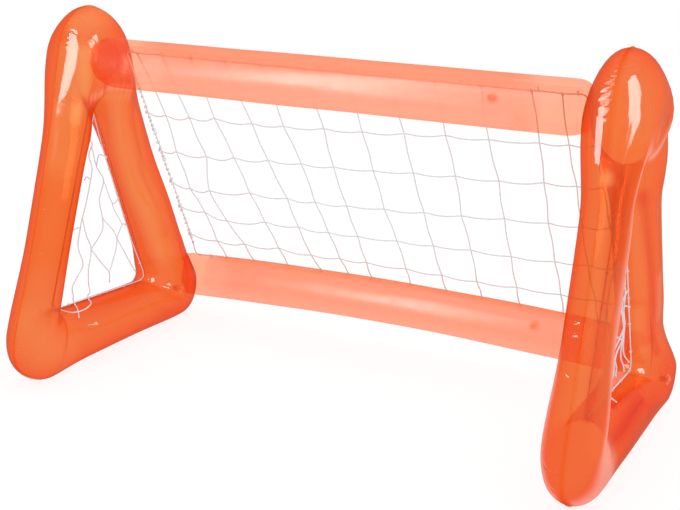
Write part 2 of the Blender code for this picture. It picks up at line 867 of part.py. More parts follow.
for x_mid, side in ((LEFT, "left"), (RIGHT, "right")):
    hole_corners = centred(HOLE)
    loop = eased_corners(shrunk(hole_corners, FIN + GAP * 2 + ROPE_R), 0.026)
    border = rope(f"{side}_side_net_border", [(0, p.x, p.y) for p in loop], ROPE_R)
    border.matrix_world = frame_place(x_mid)
    edge = eased_corners(shrunk(hole_corners, FIN + GAP * 4 + 2 * ROPE_R), 0.026)
    cells = []
    for row in range(-2, 12):
        for col in range(-6, 7):
            cy = (col + 0.5 * (row % 2)) * DIAMOND_W
            cz = 0.140 + row * DIAMOND_H / 2
            w, h = DIAMOND_W / 2, DIAMOND_H / 2
            diamond = [Vector((cy - w, cz)), Vector((cy, cz - h)), Vector((cy + w, cz)), Vector((cy, cz + h))]
            diamond = clipped(diamond, lines_of(diamond, CORD / 2))
            cells.append(diamond)
    holes = meshes_in(edge, cells, CORD)
    flat_shape(f"{side}_side_net", [edge] + holes, CORD, frame_place(x_mid) @ SIDE_PLACE, "net_cord")
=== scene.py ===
"""Looks of the inflatable soccer goal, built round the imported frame.

Metres, +Z up. X runs across the goal, -Y is the open mouth, +Y the back.
"""

import json
import math

import bmesh
import bpy
import numpy as np
from mathutils import Matrix, Vector
from mathutils.bvhtree import BVHTree


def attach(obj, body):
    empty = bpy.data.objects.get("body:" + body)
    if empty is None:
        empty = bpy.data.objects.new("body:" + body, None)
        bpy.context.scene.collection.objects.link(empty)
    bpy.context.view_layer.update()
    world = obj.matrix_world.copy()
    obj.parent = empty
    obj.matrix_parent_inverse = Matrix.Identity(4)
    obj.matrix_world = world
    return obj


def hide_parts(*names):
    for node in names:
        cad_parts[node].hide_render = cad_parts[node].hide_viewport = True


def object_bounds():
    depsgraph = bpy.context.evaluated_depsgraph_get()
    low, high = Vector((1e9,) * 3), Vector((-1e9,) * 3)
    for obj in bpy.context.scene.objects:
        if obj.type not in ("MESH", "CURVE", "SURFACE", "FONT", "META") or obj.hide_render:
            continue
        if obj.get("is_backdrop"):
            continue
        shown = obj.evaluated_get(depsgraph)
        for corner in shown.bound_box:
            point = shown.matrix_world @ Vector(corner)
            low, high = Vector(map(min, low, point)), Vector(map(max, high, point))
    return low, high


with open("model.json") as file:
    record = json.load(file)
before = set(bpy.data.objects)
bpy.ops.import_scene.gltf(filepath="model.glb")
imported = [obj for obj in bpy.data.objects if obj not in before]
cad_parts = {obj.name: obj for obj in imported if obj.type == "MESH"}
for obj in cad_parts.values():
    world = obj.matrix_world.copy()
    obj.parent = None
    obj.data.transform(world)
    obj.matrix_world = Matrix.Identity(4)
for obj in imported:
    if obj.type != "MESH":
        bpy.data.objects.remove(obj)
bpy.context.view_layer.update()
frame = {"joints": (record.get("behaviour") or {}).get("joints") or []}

scene = bpy.context.scene

# ---------------------------------------------------------------- the object's own dimensions
SPACING, TOE, PATCH = 1.254, 0.043, 0.0015
FIN, INNER_FIN = 0.0022, 0.0030
APEX = dict(y=0.0070, z=0.7228, r=0.0953, half=0.0725)
FRONT = dict(y=-0.2292, r=0.0888, half=0.0585)
REAR = dict(y=0.2444, r=0.0750, half=0.0717)
WAIST = (0.0102, 0.0075, 0.0079)
WAIST_RUN = ((0.32, 0.35), (0.22, 0.62), (0.34, 0.30))
BOW = (0.0, 0.0, 0.0026)
LEG_HALF = (0.0493, 0.0667, 0.0478)
LOBE_RUN = (0.30, 0.32, 0.16)
HOLE = ((-0.0002, 0.5926, 0.009), (-0.1709, 0.1630, 0.0186), (0.1302, 0.1351, 0.0195))
HOLE_TIGHT = 0.0022
MIDDLE_Y = 0.000669
CROSSBAR = dict(y=-0.0227, z=0.7049, r=0.0531)
REAR_BAR = dict(y=0.2570, z=0.1070, r=0.0510)
NECK, NECK_RUN, REAR_BAR_RISE = 0.0022, 0.030, 0.027
CORD_R, ROPE_R = 0.0015, 0.0016
STRIP_UP, STRIP_DOWN, STRIP_THICK = 0.004, 0.012, 0.0007
HINGE_R = 0.0092
LEFT, RIGHT = -SPACING / 2, SPACING / 2


# ---------------------------------------------------------------- camera, light, floor
def look(yaw, pitch, roll):
    fwd = Vector((-math.sin(yaw) * math.cos(pitch), math.cos(yaw) * math.cos(pitch), -math.sin(pitch)))
    right = Vector((math.cos(yaw), math.sin(yaw), 0))
    up = right.cross(fwd)
    r = right * math.cos(roll) + up * math.sin(roll)
    u = up * math.cos(roll) - right * math.sin(roll)
    return Matrix((r, u, -fwd)).transposed().to_4x4()


eye = bpy.data.cameras.new("camera")
eye.sensor_width = 36.0
eye.lens = 73.42
camera = bpy.data.objects.new("camera", eye)
scene.collection.objects.link(camera)
camera.matrix_world = Matrix.Translation((1.3779, -2.4441, 1.3085)) @ look(0.5083, 0.3377, -0.0202)
eye.clip_end = 60
scene.camera = camera


def softbox(name, centre, target, width, height, radiance, lights_floor):
    """A soft panel. radiance is what a mirror would show of it, with white as 1."""
    data = bpy.data.lights.new(name, "AREA")
    data.shape = "RECTANGLE"
    data.size, data.size_y = width, height
    data.energy = math.pi * width * height * radiance
    obj = bpy.data.objects.new(name, data)
    scene.collection.objects.link(obj)
    back = (Vector(centre) - Vector(target)).normalized()
    side = Vector((0, 0, 1)).cross(back)
    side = side.normalized() if side.length > 1e-4 else Vector((1, 0, 0))
    place = Matrix((side, back.cross(side), back)).transposed().to_4x4()
    place.translation = Vector(centre)
    obj.matrix_world = place
    obj.visible_camera = False
    obj.visible_diffuse = lights_floor
    return obj


def pane(name, start, along, reach, low, high, radiance):
    """An upright panel: it runs over reach (from, to) along a level line, from low to high."""
    start, along = Vector(start + (0.0,)), Vector(along + (0.0,)).normalized()
    middle = start + along * (sum(reach) / 2) + Vector((0, 0, (low + high) / 2))
    facing = Vector((-along.y, along.x, 0.0))
    return softbox(name, middle, middle + facing, reach[1] - reach[0], high - low, radiance, False)


FRONT_LINE = (0.0, -1.27), (1.0, 0.0)
SIDE_LINE = (1.336, -1.52), (0.639, 0.769)
left_panes = [
    pane("window_left_a", *FRONT_LINE, (-1.12, 0.00), 1.30, 3.30, 26.0),
    pane("window_left_b", *FRONT_LINE, (-0.96, -0.07), 1.00, 1.30, 26.0),
    pane("window_left_c", *FRONT_LINE, (-1.00, -0.14), 0.95, 1.00, 26.0),
    pane("window_left_d", *FRONT_LINE, (-1.06, -0.24), 0.918, 0.95, 26.0),
    pane("window_left_e", *FRONT_LINE, (-1.02, -0.28), 0.90, 0.918, 26.0),
    pane("window_left_f", *FRONT_LINE, (-0.60, -0.30), 0.885, 0.90, 26.0),
]
right_panes = [
    pane("window_right_a", *FRONT_LINE, (-1.15, -0.14), 1.38, 3.30, 10.0),
    pane("window_right_b", *FRONT_LINE, (-1.15, -0.14), 1.14, 1.38, 26.0),
    pane("window_right_c", *FRONT_LINE, (-1.65, -0.32), 1.01, 1.14, 26.0),
    pane("window_side_top", *SIDE_LINE, (1.00, 2.05), 3.50, 4.40, 25.0),
    pane("window_side_a", *SIDE_LINE, (0.18, 1.78), 2.30, 3.50, 25.0),
    pane("window_side_b", *SIDE_LINE, (0.06, 1.47), 1.62, 2.30, 25.0),
    pane("window_side_c", *SIDE_LINE, (0.10, 1.10), 1.36, 1.62, 25.0),
    pane("window_side_d", *SIDE_LINE, (0.15, 0.95), 1.20, 1.36, 25.0),
    pane("window_side_e", *SIDE_LINE, (0.28, 0.93), 1.06, 1.20, 25.0),
    pane("window_side_f", *SIDE_LINE, (0.52, 1.00), 0.92, 1.06, 25.0),
]
window_back = softbox("window_back", (1.539, 0.455, 1.33), (-0.60, 0.0, 0.70), 1.05, 1.45, 22.0, False)
bar_window = softbox("bar_window", (-0.70, -1.27, 2.10), (-0.70, 0.0, 2.10), 1.02, 4.0, 2.3, False)
bar_window_core = softbox("bar_window_core", (-0.71, -1.26, 1.45), (-0.71, 0.0, 1.45), 0.50, 1.9, 19.0, False)
softbox("overhead", (0.0, 0.1, 3.4), (0.0, 0.1, 0.0), 4.5, 4.5, 0.55, True)

world = bpy.data.worlds.new("soft_room")
scene.world = world
world.use_nodes = True
wt = world.node_tree
wt.nodes.clear()
coords = wt.nodes.new("ShaderNodeTexCoord")
split = wt.nodes.new("ShaderNodeSeparateXYZ")
ramp = wt.nodes.new("ShaderNodeMapRange")
ramp.interpolation_type = "SMOOTHSTEP"
ramp.inputs["From Min"].default_value = -0.75
ramp.inputs["From Max"].default_value = 0.35
ramp.inputs["To Min"].default_value = 0.80
ramp.inputs["To Max"].default_value = 1.10
sky = wt.nodes.new("ShaderNodeBackground")
sky.inputs["Color"].default_value = (1.0, 1.0, 1.0, 1)
sky_out = wt.nodes.new("ShaderNodeOutputWorld")
wt.links.new(coords.outputs["Generated"], split.inputs[0])
wt.links.new(split.outputs["Y"], ramp.inputs["Value"])
wt.links.new(ramp.outputs["Result"], sky.inputs["Strength"])
wt.links.new(sky.outputs[0], sky_out.inputs[0])

scene.view_settings.view_transform = "Standard"
scene.view_settings.look = "None"
if hasattr(scene, "cycles"):
    scene.cycles.transparent_max_bounces = 40
    scene.cycles.max_bounces = 14


# ---------------------------------------------------------------- node helpers
class Nodes:
    """Short-hand for building a material's nodes."""

    def __init__(self, name):
        self.m = bpy.data.materials.new(name)
        self.m.use_nodes = True
        self.t = self.m.node_tree
        self.t.nodes.clear()
        self.out = self.t.nodes.new("ShaderNodeOutputMaterial")

    def add(self, kind, **inputs):
        n = self.t.nodes.new("ShaderNode" + kind)
        for key, value in inputs.items():
            key = key.replace("_", " ")
            if hasattr(value, "links") or isinstance(value, bpy.types.NodeSocket):
                self.t.links.new(value, n.inputs[key])
            else:
                n.inputs[key].default_value = value
        return n

    def math(self, operation, a, b=None, clamp=False):
        n = self.t.nodes.new("ShaderNodeMath")
        n.operation = operation
        n.use_clamp = clamp
        for i, v in enumerate((a, b)):
            if v is None:
                continue
            if isinstance(v, bpy.types.NodeSocket):
                self.t.links.new(v, n.inputs[i])
            else:
                n.inputs[i].default_value = v
        return n.outputs[0]

    def span(self, value, low, high, to_low, to_high, smooth=True):
        n = self.t.nodes.new("ShaderNodeMapRange")
        n.interpolation_type = "SMOOTHSTEP" if smooth else "LINEAR"
        self.t.links.new(value, n.inputs["Value"])
        for key, v in (("From Min", low), ("From Max", high), ("To Min", to_low), ("To Max", to_high)):
            n.inputs[key].default_value = v
        return n.outputs["Result"]

    def colour(self, fac, a, b):
        n = self.t.nodes.new("ShaderNodeMix")
        n.data_type = "RGBA"
        n.clamp_factor = True
        for key, v in (("Factor", fac), ("A", a), ("B", b)):
            socket = [s for s in n.inputs if s.name == key and s.enabled][0]
            if isinstance(v, bpy.types.NodeSocket):
                self.t.links.new(v, socket)
            else:
                socket.default_value = v if key == "Factor" else tuple(v) + (1.0,)
        return [s for s in n.outputs if s.enabled][0]

    def mix(self, fac, a, b):
        n = self.t.nodes.new("ShaderNodeMixShader")
        if isinstance(fac, bpy.types.NodeSocket):
            self.t.links.new(fac, n.inputs[0])
        else:
            n.inputs[0].default_value = fac
        self.t.links.new(a.outputs[0], n.inputs[1])
        self.t.links.new(b.outputs[0], n.inputs[2])
        return n

    def mark(self, name):
        """A value painted on the mesh's points; 0 where the mesh has none."""
        n = self.t.nodes.new("ShaderNodeAttribute")
        n.attribute_name = name
        return n.outputs["Fac"]

    def done(self, shader):
        self.t.links.new(shader.outputs[0], self.out.inputs[0])
        return self.m


def power(colour, exponent):
    return tuple(c ** exponent for c in colour)


def film_material(name, through, glow, edge_glow, milk=(0.08, 0.34), shine=0.018, rough=0.045, satin=0.0, ripple=0.25, dark=0.34, frost=0.5, weld=False, deep=None, graze=0.09):
    """Clear dyed film. through is what one sheet lets through head on; glow and edge_glow
    are the light that its dye scatters back head on and where the sheet is seen edge on,
    with milk the shares of it. satin is the share of a wider, softer shine and dark is how
    much of the light gets lost in the sheet where it is seen along its own thickness.
    frost is how much of the scattered light goes on through the sheet, and deep is the deeper tint of a sheet that
    lies double, which is also laid on as painted shade. graze is the shine gained where it is seen edge on.
    Five marks on the mesh steer it from place to place: painted light as warm pale patches, painted whitish
    highlights, the deeper tint of film lying double that also serves as painted shade, a painted pale edge instead of
    the dark one, and matt."""
    n = Nodes(name)
    where = n.add("TexCoord").outputs["Object"]
    cloud = n.add("TexNoise", Vector=where, Scale=9.0, Detail=3.0, Roughness=0.55)
    fine = n.add("TexNoise", Vector=where, Scale=140.0, Detail=2.0, Roughness=0.6)
    smudge = n.add("TexNoise", Vector=where, Scale=31.0, Detail=4.0, Roughness=0.65)

    # bump: soft waves of the calendered sheet and a faint grain, with the ribs that the
    # welding bar leaves along a seam
    height = n.math("MULTIPLY", cloud.outputs["Fac"], 1.0)
    height = n.math("ADD", height, n.math("MULTIPLY", fine.outputs["Fac"], 0.035))
    if weld:
        uv = n.add("UVMap")
        uv.uv_map = "film"
        parts = n.add("SeparateXYZ", Vector=uv.outputs[0])
        ribs = n.math("SINE", n.math("MULTIPLY", parts.outputs[0], 2 * math.pi / 0.0016))
        height = n.math("ADD", height, n.math("MULTIPLY", ribs, 0.05))
    bump = n.add("Bump", Height=height, Strength=ripple, Distance=0.004)
    normal = bump.outputs[0]

    edge = n.add("LayerWeight", Blend=0.5).outputs["Facing"]
    # one minus the squared cosine: how much longer the way through the sheet gets
    slant = n.math("SUBTRACT", 1.0, n.math("POWER", n.math("SUBTRACT", 1.0, edge), 2.0))
    density = n.span(cloud.outputs["Fac"], 0.3, 0.7, 0.0, 0.08)
    head = n.colour(density, through, power(through, 1.9))
    tint = n.colour(slant, head, power(through, 1.35))
    clear = n.add("BsdfTransparent", Color=tint)
    side_on = n.span(slant, 0.34, 0.92, 0.0, 1.0)
    dye = n.colour(side_on, glow, edge_glow)
    scatter = n.mix(frost, n.add("BsdfDiffuse", Color=dye, Normal=normal), n.add("BsdfTranslucent", Color=dye, Normal=normal))
    share = n.span(slant, 0.34, 0.92, milk[0], milk[1])
    body = n.mix(share, clear, scatter)
    # the last degrees before the outline, where the sheet is seen along its own thickness, go dark; where a mark says
    # so they are painted pale instead, as a painted highlight
    pale = n.mark("painted_edge_light")
    rim = n.math("MULTIPLY", n.span(edge, 0.58, 0.82, 0.0, dark), n.math("SUBTRACT", 1.0, pale))
    body = n.mix(rim, body, n.add("BsdfDiffuse", Color=tuple(c * 0.30 for c in edge_glow) + (1.0,)))
    # deeper tint: film that lies double at the welds and the bar ends, and painted shade elsewhere
    body = n.mix(n.mark("deep_tint_and_shade"), body, n.add("BsdfTransparent", Color=(deep or power(through, 2.2)) + (1.0,)))
    # painted light: warm pale patches of diffuse film where the sheet catches light
    body = n.mix(n.mark("painted_warm_light"), body, n.add("BsdfDiffuse", Color=(1.0, 0.70, 0.25, 1.0)))
    # painted highlight: whitish diffuse streaks along folds, and the painted paler lower side of the bars
    body = n.mix(n.mark("painted_pale_light"), body, n.add("BsdfDiffuse", Color=(1.0, 0.84, 0.72, 1.0)))
    # painted highlight: the turned edge painted pale
    turned = n.math("MULTIPLY", pale, n.span(edge, 0.36, 0.82, 0.0, 0.27))
    body = n.mix(turned, body, n.add("BsdfDiffuse", Color=(1.0, 0.84, 0.76, 1.0)))
    rougher = n.span(smudge.outputs["Fac"], 0.35, 0.75, rough * 0.8, rough * 1.7)
    gloss = n.add("BsdfGlossy", Color=(1, 1, 1, 1), Roughness=rougher, Normal=normal)
    if satin:
        gloss = n.mix(satin, gloss, n.add("BsdfGlossy", Color=(1, 1, 1, 1), Roughness=0.34, Normal=normal))
    mirror = n.math("ADD", n.math("MULTIPLY", n.math("POWER", edge, 5.0), graze), shine)
    mirror = n.math("MULTIPLY", mirror, n.math("SUBTRACT", 1.0, n.mark("matt")))
    return n.done(n.mix(mirror, body, gloss))


def plastic_material(name, colour, rough=0.30):
    """Soft moulded clear vinyl with the film's tint: partly seen through, brighter at
    its edges, with the matt grain of the mould."""
    n = Nodes(name)
    where = n.add("TexCoord").outputs["Object"]
    grain = n.add("TexNoise", Vector=where, Scale=900.0, Detail=2.0, Roughness=0.5)
    patch = n.add("TexNoise", Vector=where, Scale=120.0, Detail=3.0, Roughness=0.6)
    bump = n.add("Bump", Height=grain.outputs["Fac"], Strength=0.18, Distance=0.0004)
    tone = n.colour(patch.outputs["Fac"], power(colour, 1.12), power(colour, 0.9))
    p = n.add("BsdfPrincipled", Base_Color=tone, Normal=bump.outputs[0])
    p.inputs["Roughness"].default_value = rough
    p.inputs["Subsurface Weight"].default_value = 0.25
    p.inputs["Subsurface Radius"].default_value = (0.004, 0.0018, 0.0009)
    p.inputs["IOR"].default_value = 1.5
    edge = n.add("LayerWeight", Blend=0.5).outputs["Facing"]
    share = n.span(edge, 0.0, 0.9, 0.10, 0.30)
    clear = n.add("BsdfTransparent", Color=tuple(c ** 0.25 for c in colour) + (1.0,))
    return n.done(n.mix(share, clear, p))


def cord_material(name, colour, pitch=0.0045):
    """Twisted cord: strands wind round it, u runs along and v round."""
    n = Nodes(name)
    uv = n.add("UVMap")
    uv.uv_map = "film"
    parts = n.add("SeparateXYZ", Vector=uv.outputs[0])
    turn = n.math("ADD", n.math("MULTIPLY", parts.outputs[0], 1.0 / pitch), n.math("MULTIPLY", parts.outputs[1], 3.0))
    wave = n.math("SINE", n.math("MULTIPLY", turn, 2 * math.pi))
    strand = n.math("ADD", n.math("MULTIPLY", wave, 0.5), 0.5)
    fuzz = n.add("TexNoise", Vector=n.add("TexCoord").outputs["Object"], Scale=1500.0, Detail=2.0, Roughness=0.7)
    patch = n.add("TexNoise", Vector=n.add("TexCoord").outputs["Object"], Scale=22.0, Detail=2.0, Roughness=0.5)
    height = n.math("ADD", strand, n.math("MULTIPLY", fuzz.outputs["Fac"], 0.4))
    bump = n.add("Bump", Height=height, Strength=0.6, Distance=0.0004)
    # painted shade: the grooves between the strands are darker
    strand_groove_shade = n.colour(strand, power(colour, 2.2), colour)
    tone = n.colour(n.math("MULTIPLY", patch.outputs["Fac"], 0.35), strand_groove_shade, power(colour, 1.5))
    p = n.add("BsdfPrincipled", Base_Color=tone, Normal=bump.outputs[0])
    p.inputs["Roughness"].default_value = 0.72
    p.inputs["Sheen Weight"].default_value = 0.25
    p.inputs["Sheen Roughness"].default_value = 0.4
    return n.done(p)


FRAME_THROUGH = (0.930, 0.410, 0.215)
FRAME_GLOW = (1.0, 0.385, 0.085)
FRAME_EDGE_GLOW = (1.0, 0.17, 0.022)
BAR_THROUGH = (1.0, 0.72, 0.71)
BAR_GLOW = (1.0, 0.42, 0.145)
BAR_EDGE_GLOW = (1.0, 0.40, 0.15)
WELD_THROUGH = (0.925, 0.52, 0.36)
frame_film = film_material("frame_film_clear_orange", FRAME_THROUGH, FRAME_GLOW, FRAME_EDGE_GLOW, milk=(0.20, 0.38), dark=0.28)
frame_weld = film_material("frame_film_weld", WELD_THROUGH, (0.85, 0.42, 0.22), (0.80, 0.26, 0.12), milk=(0.10, 0.24), rough=0.16, ripple=0.5, dark=0.22, weld=True)
BAR_LOOK = dict(milk=(0.45, 0.55), shine=0.0185, rough=0.24, satin=0.5, dark=0.14, frost=0.8, deep=(1.0, 0.66, 0.52))
frame_fin = film_material("frame_film_fin", (0.960, 0.70, 0.54), (1.0, 0.50, 0.20), (1.0, 0.34, 0.12), milk=(0.05, 0.14), shine=0.004, rough=0.30, ripple=0.5, dark=0.10, weld=True, graze=0.012)
bar_film = film_material("bar_film_frosted_pale_orange", BAR_THROUGH, BAR_GLOW, BAR_EDGE_GLOW, ripple=0.35, **BAR_LOOK)
bar_weld = film_material("bar_film_weld", BAR_THROUGH, BAR_GLOW, BAR_EDGE_GLOW, ripple=0.40, weld=True, **BAR_LOOK)
disc_film = film_material("bar_end_film_clear_orange", (0.99, 0.72, 0.55), (1.0, 0.38, 0.12), (1.0, 0.28, 0.07), milk=(0.06, 0.20), rough=0.10, ripple=0.35)
strip_film = film_material("net_strip_film_clear", (0.995, 0.965, 0.95), (1.0, 0.80, 0.70), (1.0, 0.72, 0.60), milk=(0.02, 0.06), shine=0.010, rough=0.22, ripple=0.4, dark=0.05, weld=True)
valve_vinyl = plastic_material("valve_vinyl_orange", (0.98, 0.54, 0.28))
bar_valve_vinyl = plastic_material("valve_vinyl_pale_orange", (0.99, 0.66, 0.52))
net_cord = cord_material("net_cord_white", (0.84, 0.88, 0.90))
rope_cord = cord_material("net_border_white", (0.88, 0.90, 0.91), pitch=0.006)

stage_look = Nodes("floor_pale")
speck = stage_look.add("TexNoise", Vector=stage_look.add("TexCoord").outputs["Object"], Scale=2.0, Detail=2.0)
tone = stage_look.colour(speck.outputs["Fac"], (0.93, 0.93, 0.935), (0.95, 0.95, 0.95))
# a lit white sweep: it glows, so that next to no shadow shows on it
floor_material = stage_look.done(stage_look.mix(0.14, stage_look.add("Emission", Color=(1, 1, 1, 1), Strength=1.02), stage_look.add("BsdfDiffuse", Color=tone)))


# ---------------------------------------------------------------- mesh helpers
def ease(t):
    t = np.clip(t, 0.0, 1.0)
    return t * t * (3 - 2 * t)


def mesh_from(name, verts, faces, materials, slots=None, uvs=None, smooth=True):
    mesh = bpy.data.meshes.new(name)
    mesh.from_pydata([tuple(map(float, v)) for v in verts], [], [tuple(map(int, f)) for f in faces])
    for m in materials:
        mesh.materials.append(m)
    if slots is not None:
        mesh.polygons.foreach_set("material_index", np.asarray(slots, dtype=np.int32))
    if uvs is not None:
        layer = mesh.uv_layers.new(name="film")
        loops = np.zeros(len(mesh.loops), dtype=np.int32)
        mesh.loops.foreach_get("vertex_index", loops)
        if len(uvs) == len(verts):
            values = np.asarray(uvs, dtype=np.float32)[loops]
        else:
            values = np.asarray(uvs, dtype=np.float32)
        layer.data.foreach_set("uv", values.ravel())
    if smooth:
        mesh.polygons.foreach_set("use_smooth", np.ones(len(mesh.polygons), dtype=bool))
    mesh.validate()
    mesh.update()
    obj = bpy.data.objects.new(name, mesh)
    scene.collection.objects.link(obj)
    return obj


def grid_faces(rows, cols, wrap_rows, wrap_cols):
    index = np.arange(rows * cols).reshape(rows, cols)
    a = index if wrap_rows else index[:-1]
    b = np.roll(index, -1, 0) if wrap_rows else index[1:]
    if wrap_cols:
        a2, b2 = np.roll(a, -1, 1), np.roll(b, -1, 1)
    else:
        a, a2, b, b2 = a[:, :-1], a[:, 1:], b[:, :-1], b[:, 1:]
    return np.stack([a, a2, b2, b], -1).reshape(-1, 4)


def turn_outward(obj, away_from):
    """Faces look away from away_from(centre), as most of them do after this."""
    mesh = obj.data
    votes = 0
    for p in list(mesh.polygons)[:: max(1, len(mesh.polygons) // 400)]:
        votes += 1 if p.normal.dot(p.center - away_from(p.center)) > 0 else -1
    if votes < 0:
        mesh.flip_normals()
    return obj


# ---------------------------------------------------------------- end frame outlines
ARC_STEPS = (252, 132, 110)
EDGE_STEPS = (208, 110, 190)


def tangent_normals(corners):
    out = []
    for k in range(3):
        c = np.array(corners[k][:2])
        d = np.array(corners[(k + 1) % 3][:2]) - c
        length = float(np.hypot(*d))
        u = d / length
        side = np.array([u[1], -u[0]])
        q = (corners[k][2] - corners[(k + 1) % 3][2]) / length
        out.append(u * q + side * math.sqrt(1 - q * q))
    return out


def rounded_triangle(corners, waists, bows):
    normals = tangent_normals(corners)
    parts = []
    for k in range(3):
        n0, n1 = normals[k - 1], normals[k]
        c, r = np.array(corners[k][:2]), corners[k][2]
        c2, r2 = np.array(corners[(k + 1) % 3][:2]), corners[(k + 1) % 3][2]
        a0 = math.atan2(n0[1], n0[0])
        turn = math.atan2(n1[1], n1[0]) - a0
        turn = (turn + math.pi) % (2 * math.pi) - math.pi
        a = a0 + turn * np.arange(ARC_STEPS[k]) / ARC_STEPS[k]
        parts.append(c + np.stack([np.cos(a), np.sin(a)], 1) * r)
        t = (np.arange(EDGE_STEPS[k]) / EDGE_STEPS[k])[:, None]
        start, end = c + n1 * r, c2 + n1 * r2
        dip = waists[k] * ease(t / WAIST_RUN[k][0]) * ease((1 - t) / WAIST_RUN[k][1])
        parts.append(start * (1 - t) + end * t - n1 * (dip - bows[k] * 4 * t * (1 - t)))
    return np.concatenate(parts)


def half_thickness():
    lobes = (APEX["half"], FRONT["half"], REAR["half"])
    parts = []
    for k in range(3):
        parts.append(np.full(ARC_STEPS[k], lobes[k]))
        t = np.arange(EDGE_STEPS[k]) / EDGE_STEPS[k]
        w0, w1 = 1 - ease(t / LOBE_RUN[k]), 1 - ease((1 - t) / LOBE_RUN[(k + 1) % 3])
        parts.append(LEG_HALF[k] * (1 - w0 - w1) + lobes[k] * w0 + lobes[(k + 1) % 3] * w1)
    return np.concatenate(parts)


def smoothed(values, sigma):
    n = len(values)
    k = np.minimum(np.arange(n), n - np.arange(n))
    kernel = np.exp(-0.5 * (k / sigma) ** 2)
    f = np.fft.fft(kernel / kernel.sum())
    flat = values.reshape(n, -1)
    return np.real(np.fft.ifft(np.fft.fft(flat, axis=0) * f[:, None], axis=0)).reshape(values.shape)


def centred(corners):
    return tuple((y - MIDDLE_Y, z, r) for y, z, r in corners)


OUTER = smoothed(
    rounded_triangle(
        centred(
            (
                (APEX["y"], APEX["z"], APEX["r"]),
                (FRONT["y"], FRONT["r"] - PATCH, FRONT["r"]),
                (REAR["y"], REAR["r"] - PATCH, REAR["r"]),
            )
        ),
        WAIST,
        BOW,
    ),
    6,
)


def slackened(outer):
    """The front edge hangs a little slack under the apex lobe."""
    t = np.roll(outer, -1, 0) - np.roll(outer, 1, 0)
    normal = np.stack([t[:, 1], -t[:, 0]], 1) / np.hypot(*t.T)[:, None]
    normal *= np.sign(((outer - outer.mean(0)) * normal).sum(1))[:, None]
    z = outer[:, 1]
    amount = 0.0014 * ease((0.635 - z) / 0.14) * ease((z - 0.25) / 0.17) * (outer[:, 0] < 0)
    # the weight flattens the foot's front under side
    turn = np.degrees(np.arctan2(z - (FRONT["r"] - PATCH), outer[:, 0] - (FRONT["y"] - MIDDLE_Y)))
    amount += 0.0062 * np.exp(-(((turn + 121) / 27) ** 2)) * (z < 0.09) * (outer[:, 0] < -0.12)
    # the apex lobe is a little narrower at its shoulders than a full round
    turn = np.degrees(np.arctan2(z - APEX["z"], outer[:, 0] - (APEX["y"] - MIDDLE_Y)))
    amount += (0.0034 * np.exp(-(((turn - 50) / 30) ** 2)) + 0.0036 * np.exp(-(((turn - 122) / 26) ** 2))) * (z > 0.70)
    return outer - normal * amount[:, None]


OUTER = slackened(OUTER)
INNER = smoothed(rounded_triangle([(y, z, r - HOLE_TIGHT) for y, z, r in centred(HOLE)], (0, 0, 0), (0, 0, 0)), 6)
HALF = smoothed(half_thickness(), 8)
MID = (OUTER + INNER) / 2
WIDE = np.hypot(*(OUTER - INNER).T) / 2
OUTWARD = (OUTER - INNER) / (2 * WIDE[:, None])
ROWS = len(OUTER)


def run_length(loop):
    step = np.hypot(*(np.roll(loop, -1, 0) - loop).T)
    return np.concatenate([[0], np.cumsum(step)[:-1]]), float(step.sum())


OUT_S, OUT_LENGTH = run_length(OUTER)
IN_S, IN_LENGTH = run_length(INNER)
FIRST = np.cumsum([0, ARC_STEPS[0], EDGE_STEPS[0], ARC_STEPS[1], EDGE_STEPS[1], ARC_STEPS[2], EDGE_STEPS[2]])
ANGLES = np.radians(
    [0, 0.9, 2.2, 4, 6.5, 10, 14, 19, 25, 32, 40, 49, 58, 68, 79, 90, 101, 112, 122, 131, 140, 148, 155, 161, 166, 170, 173.5, 176.5, 178.7, 180]
)


def frame_place(x_mid):
    return Matrix.Translation((x_mid, 0, 0)) @ Matrix.Rotation(math.copysign(TOE, x_mid), 4, "Z")


def to_world(points, x_mid):
    a = math.copysign(TOE, x_mid)
    c, s = math.cos(a), math.sin(a)
    out = points.copy()
    out[..., 0] = c * points[..., 0] - s * points[..., 1] + x_mid
    out[..., 1] = s * points[..., 0] + c * points[..., 1]
    return out


def around(a, b, length):
    d = (a - b) % length
    return np.where(d > length / 2, d - length, d)


def curvature_share():
    """1 where the outer seam turns tightly, 0 along its straight runs."""
    t = np.roll(OUTER, -1, 0) - np.roll(OUTER, 1, 0)
    ang = np.unwrap(np.arctan2(t[:, 1], t[:, 0]))
    turn = np.gradient(ang)
    turn[0] = turn[1]
    turn[-1] = turn[-2]
    step = np.hypot(*(np.roll(OUTER, -1, 0) - np.roll(OUTER, 1, 0)).T) / 2
    k = smoothed(np.abs(turn / step), 18)
    return np.clip(k / 11.0, 0, 1)


BEND = curvature_share()


def front_seam_at(z):
    """Arc length of the outer seam where the front edge is at height z."""
    rows = np.arange(FIRST[1] // 2, FIRST[3])
    return float(np.interp(-z, -OUTER[rows, 1], OUT_S[rows]))


